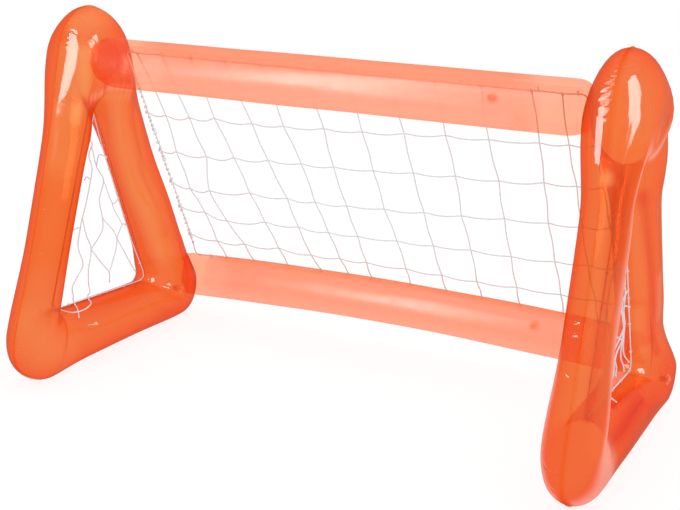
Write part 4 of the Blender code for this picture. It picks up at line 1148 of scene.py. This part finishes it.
for which, prefix, radius, neck, seed in (
    ("cross", "crossbar", CROSSBAR["r"], CROSS_NECK, 21),
    ("rear", "rear_bar", REAR_BAR["r"], REAR_NECK, 22),
):
    sleeve = bar_film_piece(f"{prefix}_sleeve_film", which, radius, neck, seed)
    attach(sleeve, "root")
    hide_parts(f"{prefix}_sleeve")
    for side, end in ((-1, "left"), (1, "right")):
        disc = end_disc(f"{prefix}_{end}_end_film", which, side, neck)
        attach(disc, "root")
        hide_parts(f"{prefix}_{end}_end_disc")


# ---------------------------------------------------------------- net plane
NET_DEEP = max(CROSSBAR["r"], REAR_BAR["r"]) + 0.0003 + STRIP_THICK / 2 + 0.0003
NET_ORIGIN = np.array([0.0, REAR_AXIS[0] + NET_OUT[0] * NET_DEEP, REAR_AXIS[1] + NET_OUT[1] * NET_DEEP])
UP3, OUT3 = np.array([0.0, *NET_UP]), np.array([0.0, *NET_OUT])
NET_TOP_X = SPACING / 2 - APEX["half"] - 0.016
NET_LOW_X = REAR_MID - LEG_HALF[2] - 0.008


def on_net(x, v, lift=0.0):
    return NET_ORIGIN + np.array([x, 0, 0]) + UP3 * v + OUT3 * lift


def low_edge(x):
    return REAR_BAR_RISE * (1 - (x / (SPACING / 2)) ** 2)


def strip_piece(name, at, sign, half_length, seed):
    """Film strip along a bar's back: a flat ribbon with round eyelets near its edge."""
    curve = bpy.data.curves.new(name + "_outline", "CURVE")
    curve.dimensions = "2D"
    curve.fill_mode = "BOTH"
    curve.extrude = STRIP_THICK / 2
    curve.resolution_u = 1
    n = 72
    xs = [half_length * (2 * k / n - 1) for k in range(n + 1)]
    rng = np.random.RandomState(seed)
    wob = [rng.uniform(-0.0004, 0.0004) for _ in xs]
    edge = [(x, at(x) - sign * STRIP_UP) for x in xs]
    other = [(x, at(x) + sign * (STRIP_DOWN + w)) for x, w in zip(reversed(xs), wob)]
    loops = [edge + other]
    eyes = []
    for k in range(14):
        x = (half_length - 0.012) * (2 * k / 13 - 1)
        c = (x, at(x) + sign * (STRIP_DOWN - 0.005))
        eyes.append(c)
        loops.append([(c[0] + 0.0022 * math.cos(a), c[1] + 0.0022 * math.sin(a)) for a in [2 * math.pi * i / 16 for i in range(16)]])
    for loop in loops:
        spline = curve.splines.new("POLY")
        spline.points.add(len(loop) - 1)
        for point, (p, q) in zip(spline.points, loop):
            point.co = (p, q, 0, 1)
        spline.use_cyclic_u = True
    holder = bpy.data.objects.new(name + "_outline", curve)
    scene.collection.objects.link(holder)
    bpy.context.view_layer.update()
    mesh = bpy.data.meshes.new_from_object(holder.evaluated_get(bpy.context.evaluated_depsgraph_get()))
    bpy.data.objects.remove(holder)
    bpy.data.curves.remove(curve)
    place = Matrix((Vector((1, 0, 0)), Vector(UP3), Vector(-OUT3))).transposed().to_4x4()
    if place.to_3x3().determinant() < 0:
        place = Matrix((Vector((1, 0, 0)), Vector(UP3), Vector(OUT3))).transposed().to_4x4()
    place.translation = Vector(NET_ORIGIN)
    mesh.transform(place)
    mesh.name = name
    mesh.materials.clear()
    mesh.materials.append(strip_film)
    layer = mesh.uv_layers.new(name="film") if "film" not in mesh.uv_layers else mesh.uv_layers["film"]
    for loop in mesh.loops:
        p = mesh.vertices[loop.vertex_index].co
        layer.data[loop.index].uv = (p.x, p.z)
    obj = bpy.data.objects.new(name, mesh)
    scene.collection.objects.link(obj)
    return obj, eyes


# ---------------------------------------------------------------- cords
def resampled(points, step, closed=False):
    """A smooth line through points, with an even step (Catmull-Rom)."""
    p = np.asarray(points, float)
    n = len(p)
    out = []
    last = n if closed else n - 1
    for i in range(last):
        p0 = p[(i - 1) % n] if closed or i > 0 else p[0] * 2 - p[1]
        p1, p2 = p[i], p[(i + 1) % n]
        p3 = p[(i + 2) % n] if closed or i + 2 < n else p[-1] * 2 - p[-2]
        m = max(1, int(math.ceil(np.linalg.norm(p2 - p1) / step)))
        for k in range(m):
            t = k / m
            out.append(0.5 * (2 * p1 + (p2 - p0) * t + (2 * p0 - 5 * p1 + 4 * p2 - p3) * t * t + (3 * p1 - p0 - 3 * p2 + p3) * t ** 3))
    if not closed:
        out.append(p[-1])
    return np.array(out)


class Cords:
    """Gathers tubes and knots into one mesh."""

    def __init__(self):
        self.v, self.f, self.uv = [], [], []

    def tube(self, points, radius, sides=6, closed=False):
        p = np.asarray(points, float)
        n = len(p)
        if closed:
            tan = np.roll(p, -1, 0) - np.roll(p, 1, 0)
        else:
            tan = np.gradient(p, axis=0)
        tan /= np.linalg.norm(tan, axis=1, keepdims=True) + 1e-12
        ref = np.array([0.31, 0.17, 0.93])
        ref = ref - tan[0] * (ref @ tan[0])
        if np.linalg.norm(ref) < 0.2:
            ref = np.array([0.9, 0.3, 0.1]) - tan[0] * (np.array([0.9, 0.3, 0.1]) @ tan[0])
        a = ref / np.linalg.norm(ref)
        start = len(self.v)
        length = 0.0
        lengths = []
        for i in range(n):
            a = a - tan[i] * (a @ tan[i])
            a /= np.linalg.norm(a)
            b = np.cross(tan[i], a)
            if i:
                length += float(np.linalg.norm(p[i] - p[i - 1]))
            lengths.append(length)
            for k in range(sides):
                w = 2 * math.pi * k / sides
                self.v.append(p[i] + (a * math.cos(w) + b * math.sin(w)) * radius)
        total = length + (float(np.linalg.norm(p[0] - p[-1])) if closed else 0)
        for i in range(n if closed else n - 1):
            j = (i + 1) % n
            u0, u1 = lengths[i], (lengths[i + 1] if i + 1 < n else total)
            for k in range(sides):
                m = (k + 1) % sides
                self.f.append((start + i * sides + k, start + i * sides + m, start + j * sides + m, start + j * sides + k))
                self.uv += [(u0, k / sides), (u0, (k + 1) / sides), (u1, (k + 1) / sides), (u1, k / sides)]
        if not closed:
            for row, flip in ((0, True), (n - 1, False)):
                ids = [start + row * sides + k for k in range(sides)]
                self.f.append(tuple(reversed(ids)) if flip else tuple(ids))
                self.uv += [(lengths[row], 0)] * sides

    def knot(self, at, radius, stretch=(1, 1, 1), turn=0.0):
        """A small tied lump: three soft rings squeezed together."""
        start = len(self.v)
        rings, sides = 5, 8
        c, s = math.cos(turn), math.sin(turn)
        for i in range(rings):
            lat = -math.pi / 2 + math.pi * (i + 0.5) / rings
            r = math.cos(lat) * (1 + 0.12 * math.cos(2 * i + turn))
            for k in range(sides):
                w = 2 * math.pi * (k + 0.5 * (i % 2)) / sides
                x, y, z = r * math.cos(w) * stretch[0], r * math.sin(w) * stretch[1], math.sin(lat) * stretch[2]
                self.v.append(np.array(at) + radius * np.array([c * x - s * z, y, s * x + c * z]))
        for i in range(rings - 1):
            for k in range(sides):
                m = (k + 1) % sides
                self.f.append((start + i * sides + k, start + i * sides + m, start + (i + 1) * sides + m, start + (i + 1) * sides + k))
                self.uv += [(i * 0.001, k / sides), (i * 0.001, (k + 1) / sides), ((i + 1) * 0.001, (k + 1) / sides), ((i + 1) * 0.001, k / sides)]
        for row, flip in ((0, True), (rings - 1, False)):
            ids = [start + row * sides + k for k in range(sides)]
            self.f.append(tuple(reversed(ids)) if flip else tuple(ids))
            self.uv += [(0, 0)] * sides

    def loop_round(self, at, along, radius, thick, turns=1.0):
        """A turn of cord round a line."""
        t = np.asarray(along, float)
        t /= np.linalg.norm(t)
        a = np.cross(t, [0.2, 0.9, 0.4])
        a /= np.linalg.norm(a)
        b = np.cross(t, a)
        n = int(14 * turns) + 1
        pts = [np.array(at) + (a * math.cos(2 * math.pi * turns * k / (n - 1)) + b * math.sin(2 * math.pi * turns * k / (n - 1))) * radius + t * thick * 2 * turns * (k / (n - 1) - 0.5) for k in range(n)]
        self.tube(pts, thick, 6)

    def piece(self, name, material):
        return mesh_from(name, self.v, self.f, [material], uvs=np.array(self.uv))


def show(obj, node):
    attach(obj, "root")
    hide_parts(node)


strip_top, top_eyes = strip_piece("crossbar_net_strip_film", lambda x: SLOPE, -1, NET_TOP_X - 0.004, 31)
show(strip_top, "crossbar_net_strip")
strip_low, low_eyes = strip_piece("rear_bar_net_strip_film", low_edge, 1, NET_LOW_X - 0.026, 32)
show(strip_low, "rear_bar_net_strip")

# Back net. Uprights: where each meets the top and the bottom border. Rows: height up
# the slope at the left, the middle and the right.
UPRIGHTS = (
    (-0.506, -0.473), (-0.437, -0.391), (-0.358, -0.292), (-0.268, -0.196), (-0.177, -0.122),
    (-0.076, -0.058), (0.022, 0.043), (0.122, 0.136), (0.222, 0.223), (0.323, 0.316), (0.427, 0.417), (0.492, 0.498),
)
ROW_HEIGHTS = ((0.088, 0.088, 0.092), (0.180, 0.172, 0.196), (0.262, 0.268, 0.310), (0.360, 0.379, 0.418), (0.474, 0.487, 0.524))
TOP_V = SLOPE - STRIP_DOWN - 0.0003 - ROPE_R
LOW_OFF = STRIP_DOWN + 0.0003 + ROPE_R


def side_x(v):
    return NET_LOW_X + 0.0065 * (1 - v / SLOPE) + (NET_TOP_X - NET_LOW_X) * (v / SLOPE)


def low_v(x):
    return low_edge(x) + LOW_OFF


rng = np.random.RandomState(41)
knots = {}
for i, (top, low) in enumerate(UPRIGHTS):
    for r, (a, b, c) in enumerate(ROW_HEIGHTS):
        x_at = low + (top - low) * (np.mean((a, b, c)) / 0.56)
        v = float(np.interp(x_at, (-0.55, -0.1, 0.5), (a, b, c)))
        slack = 1.0 + 1.6 * math.exp(-((i / 2.2) ** 2))
        knots[i, r] = (
            x_at + rng.uniform(-0.004, 0.004) * slack,
            v + rng.uniform(-0.0035, 0.0035) * slack,
        )
# the slack corner at the lower left
knots[0, 1] = (-0.487, 0.176)
knots[1, 1] = (-0.428, 0.158)
knots[0, 2] = (-0.503, 0.250)
knots[1, 2] = (-0.447, 0.252)

net = Cords()
for i, (top, low) in enumerate(UPRIGHTS):
    line = [(low, low_v(low) - 0.001)] + [knots[i, r] for r in range(5)] + [(top + (top - low) * 0.12, TOP_V)]
    pts = []
    for (x0, v0), (x1, v1) in zip(line, line[1:]):
        for t in (0, 0.5):
            bulge = 0.0022 * math.sin(math.pi * t) * (1 if (i + len(pts)) % 2 else -1)
            lift = -0.004 * math.sin(math.pi * min(1, max(0, (v0 + (v1 - v0) * t) / SLOPE)))
            pts.append(on_net(x0 + (x1 - x0) * t + bulge, v0 + (v1 - v0) * t, lift))
    pts.append(on_net(*line[-1]))
    net.tube(resampled(pts, 0.010), CORD_R)
    # tied on the borders
    net.loop_round(pts[0], (1, 0, 0), ROPE_R + CORD_R * 0.8, CORD_R * 0.9, 1.5)
    net.loop_round(pts[-1], (1, 0, 0), ROPE_R + CORD_R * 0.8, CORD_R * 0.9, 1.5)
for r in range(5):
    heights = ROW_HEIGHTS[r]
    first_v, last_v = heights[0] + 0.004, heights[2] + 0.002
    line = [(-side_x(first_v), first_v)] + [knots[i, r] for i in range(len(UPRIGHTS))] + [(side_x(last_v), last_v)]
    pts = []
    for k, ((x0, v0), (x1, v1)) in enumerate(zip(line, line[1:])):
        dip = 0.0045 + 0.004 * math.exp(-(((k - 1.5) / 2.5) ** 2)) + rng.uniform(-0.001, 0.001)
        for t in (0, 0.33, 0.67):
            lift = -0.004 * math.sin(math.pi * min(1, max(0, v0 / SLOPE)))
            pts.append(on_net(x0 + (x1 - x0) * t, v0 + (v1 - v0) * t - dip * (4 * t * (1 - t)), lift))
    pts.append(on_net(*line[-1]))
    net.tube(resampled(pts, 0.008), CORD_R)
    for end in (pts[0], pts[-1]):
        net.loop_round(end, UP3, ROPE_R + CORD_R * 0.8, CORD_R * 0.9, 1.5)
for (i, r), (x, v) in knots.items():
    lift = -0.004 * math.sin(math.pi * min(1, max(0, v / SLOPE)))
    net.knot(on_net(x, v, lift), 0.0018, (1.15, 0.85, 1.0), 0.6 + i * 0.7 + r)
show(net.piece("back_net_cords", net_cord), "back_net")

# its border rope, laced through the strips' eyelets and whipped along the sides
border = Cords()
outline = []
n = 26
for k in range(n + 1):
    x = side_x(0.03) * (2 * k / n - 1)
    v = low_v(x)
    reach = side_x(v)
    outline.append((max(-reach, min(reach, x)), v))
top_v = TOP_V
for k in range(1, 18):
    v = low_v(side_x(0)) + (top_v - low_v(side_x(0))) * k / 18
    outline.append((side_x(v) + 0.0012 * math.sin(k * 1.9), v))
outline.append((side_x(top_v) - 0.002, top_v))
for k in range(1, 26):
    x = side_x(top_v) * (1 - 2 * k / 26)
    outline.append((x, top_v - 0.0006 * math.sin(k * 2.3)))
outline.append((-side_x(top_v) + 0.002, top_v))
for k in range(17, 0, -1):
    v = low_v(side_x(0)) + (top_v - low_v(side_x(0))) * k / 18
    outline.append((-side_x(v) - 0.0012 * math.sin(k * 1.7), v))
border.tube(resampled([on_net(x, v) for x, v in outline], 0.010, closed=True), ROPE_R, 8, closed=True)
for eyes, edge_v in ((top_eyes, lambda x: top_v), (low_eyes, low_v)):
    for x, v in eyes:
        a, b = on_net(x, v), on_net(x, edge_v(x))
        m, h = (a + b) / 2, (a - b) / 2
        half = np.linalg.norm(h)
        t = h / half
        pts = []
        for k in range(17):
            w = 2 * math.pi * k / 16
            stretch = half + 0.0016
            pts.append(m + t * stretch * math.cos(w) + OUT3 * 0.0022 * math.sin(w) + np.array([1, 0, 0]) * 0.0014 * math.sin(2 * w))
        border.tube(pts, 0.0009, 6)
for side in (-1, 1):
    rng = np.random.RandomState(50 + side)
    v = 0.06
    while v < top_v - 0.04:
        x = side * side_x(v)
        loose = 1.9 if side < 0 else 1.0
        border.loop_round(on_net(x, v), UP3 + np.array([rng.uniform(-0.6, 0.6), 0, 0]), ROPE_R + rng.uniform(0.0004, 0.0016) * loose, 0.0006, rng.uniform(1.4, 2.6))
        v += rng.uniform(0.020, 0.032) / loose
show(border.piece("back_net_border_rope", rope_cord), "back_net_border")


# ---------------------------------------------------------------- side nets
def eased_corners(triangle, cut, steps):
    out = []
    for k in range(3):
        p, a, b = (Vector(triangle[i]) for i in (k, k - 1, (k + 1) % 3))
        start, end = p + (a - p).normalized() * cut, p + (b - p).normalized() * cut
        for i in range(steps + 1):
            t = i / steps
            out.append(start * (1 - t) ** 2 + p * (2 * t * (1 - t)) + end * t ** 2)
        for f in (0.2, 0.4, 0.6, 0.8):
            out.append(end.lerp(b + (p - b).normalized() * cut, f))
    return out


def shrunk(corners, by):
    normals = tangent_normals(corners)
    sides = [(np.array(corners[k][:2]) + normals[k] * (corners[k][2] - by), normals[k]) for k in range(3)]
    out = []
    for k in range(3):
        (p, n), (q, m) = sides[k - 1], sides[k]
        det = n[0] * m[1] - n[1] * m[0]
        c, d = n @ p, m @ q
        out.append(((c * m[1] - d * n[1]) / det, (n[0] * d - m[0] * c) / det))
    return out


SIDE_LOOP = eased_corners(shrunk(centred(HOLE), 0.0045 + 0.0006 + ROPE_R), 0.026, 6)

# Slack side nets: each cord's points (y, z) in the frame's own mid plane, with how far
# it has come out onto the film of the tube where it lies over that.
HANGING = (
    ((-0.002, 0.566, 0), (-0.009, 0.522, 0), (-0.005, 0.501, 0), (-0.013, 0.493, 0)),
    ((-0.013, 0.493, 0), (-0.025, 0.477, 0), (-0.018, 0.449, 0), (-0.023, 0.419, 0), (-0.045, 0.377, 0), (-0.059, 0.336, 0), (-0.072, 0.319, 0), (-0.078, 0.272, 0), (-0.072, 0.228, 0), (-0.098, 0.207, 0)),
    ((-0.059, 0.336, 0), (-0.050, 0.292, 0), (-0.036, 0.253, 0), (-0.060, 0.211, 0)),
    ((-0.007, 0.490, 0), (0.005, 0.444, 0), (0.014, 0.410, 0), (0.000, 0.365, 0), (0.007, 0.320, 0), (-0.003, 0.290, 0), (-0.036, 0.253, 0)),
    ((-0.036, 0.253, 0), (-0.012, 0.215, 0), (0.008, 0.183, 0), (0.011, 0.157, 0)),
    ((0.007, 0.320, 0), (0.014, 0.311, 0), (0.046, 0.258, 0), (0.021, 0.199, 0), (0.008, 0.183, 0)),
    ((0.046, 0.258, 0), (0.070, 0.285, 0), (0.092, 0.276, 0)),
    ((0.046, 0.258, 0), (0.089, 0.184, 0), (0.107, 0.157, 0), (0.114, 0.150, 0)),
    ((0.005, 0.444, 0), (0.008, 0.472, 0), (0.031, 0.462, 0)),
    ((0.014, 0.410, 0), (0.047, 0.345, 0), (0.070, 0.350, 0)),
    ((-0.023, 0.419, 0), (-0.040, 0.432, 0), (-0.050, 0.428, 0)),
    ((-0.072, 0.319, 0), (-0.094, 0.318, 0)),
    ((0.047, 0.345, 0), (0.054, 0.328, 0), (0.070, 0.285, 0)),
)
OVER_TUBE = {
    LEFT: (
        ((-0.098, 0.207, 0), (-0.122, 0.188, 0), (-0.118, 0.166, 0), (-0.115, 0.150, 0.4), (-0.127, 0.138, 1), (-0.142, 0.125, 1)),
        ((-0.060, 0.211, 0), (-0.062, 0.175, 0), (-0.063, 0.158, 0), (-0.067, 0.144, 0.2), (-0.078, 0.135, 1), (-0.106, 0.133, 1), (-0.130, 0.134, 1), (-0.150, 0.138, 1), (-0.162, 0.144, 0.7), (-0.170, 0.152, 0.2)),
    ),
    RIGHT: (
        ((-0.098, 0.207, 0), (-0.112, 0.182, 0), (-0.118, 0.170, 0)),
        ((0.101, 0.347, 0), (0.079, 0.343, 0), (0.098, 0.314, 0), (0.075, 0.301, 0), (0.065, 0.277, 0), (0.055, 0.256, 0), (0.047, 0.224, 0), (0.062, 0.182, 0), (0.080, 0.154, 0.2), (0.088, 0.140, 1)),
        ((0.065, 0.277, 0), (0.067, 0.228, 0), (0.028, 0.200, 0), (-0.011, 0.175, 0), (-0.014, 0.155, 0.4), (-0.030, 0.139, 1), (-0.043, 0.132, 1)),
        ((0.047, 0.224, 0), (0.033, 0.233, 0), (-0.002, 0.199, 0), (-0.015, 0.165, 0.2), (-0.022, 0.140, 1)),
        ((-0.060, 0.211, 0), (-0.072, 0.180, 0), (-0.078, 0.164, 0)),
    ),
}
HOLE_LOOP = np.array([[p.x, p.y] for p in SIDE_LOOP])
PLUS_X_FACE = {LEFT: tree_of(PANELS["left_frame_inner_panel"]), RIGHT: tree_of(PANELS["right_frame_outer_panel"])}


def side_point(x_mid, y, z, out=0.0):
    return np.array(frame_place(x_mid) @ Vector((out, y, z)))


def rope_side(x_mid, y, z):
    """The left net's border has slipped behind the weld along the hole's rear edge."""
    if x_mid > 0:
        return 0.0
    middle = -0.02 * (0.60 - z) / 0.45
    return -0.0075 * float(ease((y - middle) / 0.02) * ease((z - 0.150) / 0.03))


def over_film(x_mid, y, z, share):
    """A point of a cord that comes out of the mid plane onto the tube's film."""
    p = side_point(x_mid, y, z)
    if share <= 0:
        return p
    hit = PLUS_X_FACE[x_mid].ray_cast(Vector((p[0] + 0.2, p[1], p[2])), Vector((-1, 0, 0)))[0]
    if hit is None:
        return p
    out = (hit.x + CORD_R + 0.0012) - p[0]
    return p + np.array([max(out, 0.0) * share, 0, 0])


def in_the_hole(y, z):
    """Pulls a point that would lie in the film back onto the border rope."""
    x0, y0 = HOLE_LOOP[:, 0], HOLE_LOOP[:, 1]
    x1, y1 = np.roll(x0, -1), np.roll(y0, -1)
    crossing = ((y0 > z) != (y1 > z)) & (y < (x1 - x0) * (z - y0) / (y1 - y0 + 1e-12) + x0)
    if crossing.sum() % 2:
        return y, z
    k = np.argmin(np.hypot(x0 - y, y0 - z))
    return float(x0[k]), float(y0[k])


for x_mid, label in ((LEFT, "left"), (RIGHT, "right")):
    rng = np.random.RandomState(61 if x_mid < 0 else 62)
    cords = Cords()
    shift = {}
    for run in HANGING + OVER_TUBE[x_mid]:
        pts = []
        for y, z, share in run:
            if (y, z) not in shift:
                loose = 0.0 if x_mid < 0 else 0.006
                shift[y, z] = (rng.uniform(-loose, loose), rng.uniform(-loose, loose), rng.uniform(-0.006, 0.007))
            dy, dz, depth = shift[y, z]
            if share > 0 or run in OVER_TUBE[x_mid]:
                dy = dz = 0.0
            if share > 0:
                pts.append(over_film(x_mid, y, z, share))
                continue
            yy, zz = in_the_hole(y + dy, z + dz)
            at_rope = (yy, zz) != (y + dy, z + dz)
            pts.append(side_point(x_mid, yy, zz, rope_side(x_mid, yy, zz) if at_rope else depth))
        fine = resampled(pts, 0.004)
        if run[-1][2] == 1:
            # nothing of it dips into the film on the way over the edge
            for k, q in enumerate(fine):
                hit = PLUS_X_FACE[x_mid].ray_cast(Vector((q[0] + 0.2, q[1], q[2])), Vector((-1, 0, 0)))[0]
                if hit is not None and k > len(fine) * 0.35:
                    fine[k][0] = max(q[0], hit.x + CORD_R + 0.0004)
        cords.tube(fine, CORD_R)
        for q in (pts[0], pts[-1]):
            cords.knot(q, 0.0020, (1.1, 0.9, 1.0), rng.uniform(0, 3))

    show(cords.piece(f"{label}_side_net_cords", net_cord), f"{label}_side_net")

    rope = Cords()
    rope.tube(resampled([side_point(x_mid, p.x, p.y, rope_side(x_mid, p.x, p.y)) for p in SIDE_LOOP], 0.008, closed=True), ROPE_R * 0.75, 8, closed=True)
    # ties over the weld's inner fin, spaced round the hole
    loop = resampled([side_point(x_mid, p.x, p.y, rope_side(x_mid, p.x, p.y)) for p in SIDE_LOOP], 0.004, closed=True)
    for k in range(5, len(loop), 17):
        t = loop[(k + 1) % len(loop)] - loop[k - 1]
        rope.loop_round(loop[k], t, ROPE_R + 0.0009, 0.0007, rng.uniform(1.5, 2.5))
    show(rope.piece(f"{label}_side_net_border_rope", net_cord), f"{label}_side_net_border")


# ---------------------------------------------------------------- valves
def lathe(profile, place, steps=56, closed=True):
    """Turned mesh from (radius, height), smooth enough for a close look."""
    prof = np.array(profile, float)
    n = len(prof)
    verts, faces = [], []
    for k in range(steps):
        a = 2 * math.pi * k / steps
        for r, z in prof:
            verts.append(place @ Vector((r * math.cos(a), r * math.sin(a), z)))
    last = n if closed else n - 1
    for k in range(steps):
        m = (k + 1) % steps
        for i in range(last):
            j = (i + 1) % n
            faces.append((k * n + i, k * n + j, m * n + j, m * n + i))
    return verts, faces


def rounded(profile, radius, steps=3, closed=True):
    """A profile with its corners rounded."""
    p = [np.array(q, float) for q in profile]
    n = len(p)
    out = []
    for i in range(n):
        if not closed and i in (0, n - 1):
            out.append(tuple(p[i]))
            continue
        a, b, c = p[i - 1], p[i], p[(i + 1) % n]
        d0, d1 = np.linalg.norm(a - b), np.linalg.norm(c - b)
        cut = min(radius, d0 * 0.45, d1 * 0.45)
        s, e = b + (a - b) / d0 * cut, b + (c - b) / d1 * cut
        for k in range(steps + 1):
            t = k / steps
            out.append(tuple(s * (1 - t) ** 2 + b * 2 * t * (1 - t) + e * t * t))
    return out


def soft_block(low, high, bevel, place):
    bm = bmesh.new()
    bmesh.ops.create_cube(bm, size=1.0)
    low, high = Vector(low), Vector(high)
    for v in bm.verts:
        v.co = Vector(tuple((low[i] + high[i]) / 2 + v.co[i] * (high[i] - low[i]) for i in range(3)))
    bmesh.ops.bevel(bm, geom=list(bm.edges), offset=bevel, segments=3, profile=0.5, affect="EDGES")
    bm.transform(place)
    bm.verts.ensure_lookup_table()
    verts = [v.co.copy() for v in bm.verts]
    faces = [tuple(v.index for v in f.verts) for f in bm.faces]
    bm.free()
    return verts, faces


def joined(name, parts, material):
    verts, faces = [], []
    for v, f in parts:
        k = len(verts)
        verts += list(v)
        faces += [tuple(i + k for i in face) for face in f]
    obj = mesh_from(name, verts, faces, [material])
    obj.data.set_sharp_from_angle(angle=math.radians(50))
    bm = bmesh.new()
    bm.from_mesh(obj.data)
    bmesh.ops.remove_doubles(bm, verts=bm.verts, dist=0.000002)
    bmesh.ops.recalc_face_normals(bm, faces=bm.faces)
    bm.to_mesh(obj.data)
    bm.free()
    return obj


def valve(prefix):
    p, z, x = VALVE_POINT[prefix], VALVE_AXIS[prefix], VALVE_ACROSS[prefix]
    y = z.cross(x)
    place = Matrix((x, y, z)).transposed().to_4x4()
    place.translation = p

    vinyl = valve_vinyl if prefix.endswith("frame") else bar_valve_vinyl

    def put(obj, body, node):
        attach(obj, body)
        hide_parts(node)

    # flange with a raised bead and a weld ring, and the guide sleeve
    flange = rounded([(0.0066, 0.0010), (0.0080, 0.0014), (0.0092, 0.0014), (0.0097, 0.0009), (0.0114, 0.0008), (0.0120, 0.0001), (0.0120, -0.0006), (0.0070, -0.0010), (0.0070, -0.0158), (0.0062, -0.0160), (0.0062, 0.0006)], 0.0003)
    put(joined(f"{prefix}_valve_base_vinyl", [lathe(flange, place)], vinyl), f"root", f"{prefix}_valve_base")
    # stem: a soft tube with a rolled lip and two shallow rings, and the strap's ear
    stem = rounded([(0.0031, 0.0040), (0.0055, 0.0040), (0.0059, 0.0036), (0.0059, 0.0020), (0.0056, 0.0014), (0.0056, -0.0100), (0.0059, -0.0104), (0.0059, -0.0128), (0.0055, -0.0135), (0.0034, -0.0135), (0.0030, -0.0130), (0.0030, 0.0034)], 0.0003)
    ear = soft_block((0.0050, -0.0018, 0.0024), (HINGE_R + 0.0006, 0.0018, 0.0036), 0.0004, place)
    put(joined(f"{prefix}_valve_stem_vinyl", [lathe(stem, place), ear], vinyl), f"{prefix}_stem", f"{prefix}_valve_stem")
    # plug: a capped peg with a finger tab, on its strap
    low = 0.0043
    plug = rounded([(0.0, low + 0.0014), (0.0030, low + 0.0014), (0.0040, low + 0.0009), (0.0050, low + 0.0011), (0.0056, low + 0.0007), (0.0056, low), (0.0027, low), (0.0026, low - 0.0024), (0.0028, low - 0.0030), (0.0017, low - 0.0042), (0.0, low - 0.0042)], 0.00025, closed=False)
    strap = soft_block((0.0046, -0.0016, low + 0.0001), (HINGE_R + 0.0005, 0.0016, low + 0.0009), 0.0003, place)
    tab = soft_block((-0.0078, -0.0022, low + 0.0001), (-0.0048, 0.0022, low + 0.0009), 0.00035, place)
    put(joined(f"{prefix}_valve_plug_vinyl", [lathe(plug, place, closed=False), strap, tab], vinyl), f"{prefix}_plug", f"{prefix}_valve_plug")
    # the one-way flap inside, hinged at its rim
    top = -0.0138
    flap = rounded([(0.0, top), (0.0038, top), (0.0045, top - 0.0001), (0.0045, top - 0.0005), (0.0, top - 0.0006)], 0.0001, closed=False)
    put(joined(f"{prefix}_valve_flap_vinyl", [lathe(flap, place, closed=False)], vinyl), f"{prefix}_flap", f"{prefix}_valve_flap")


for prefix in ("left_frame", "right_frame", "crossbar", "rear_bar"):
    valve(prefix)


# ---------------------------------------------------------------- light linking, floor and bounds
def shines_on(light, names):
    """Only these pieces mirror the panel."""
    group = bpy.data.collections.new(light.name + "_pieces")
    for name in names:
        group.objects.link(bpy.data.objects[name])
    light.light_linking.receiver_collection = group


BOTH_FRAMES = [key + "_film" for key in PANELS]
SLEEVES = ["crossbar_sleeve_film", "rear_bar_sleeve_film"]
for light in left_panes:
    shines_on(light, BOTH_FRAMES[:2])
for light in right_panes:
    shines_on(light, BOTH_FRAMES[2:])
shines_on(window_back, BOTH_FRAMES[:1])
shines_on(bar_window, SLEEVES)
shines_on(bar_window_core, SLEEVES)

floor = mesh_from("floor", [(-14, -14, 0), (14, -14, 0), (14, 14, 0), (-14, 14, 0)], [(0, 1, 2, 3)], [floor_material], smooth=False)
floor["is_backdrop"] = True

low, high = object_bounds()
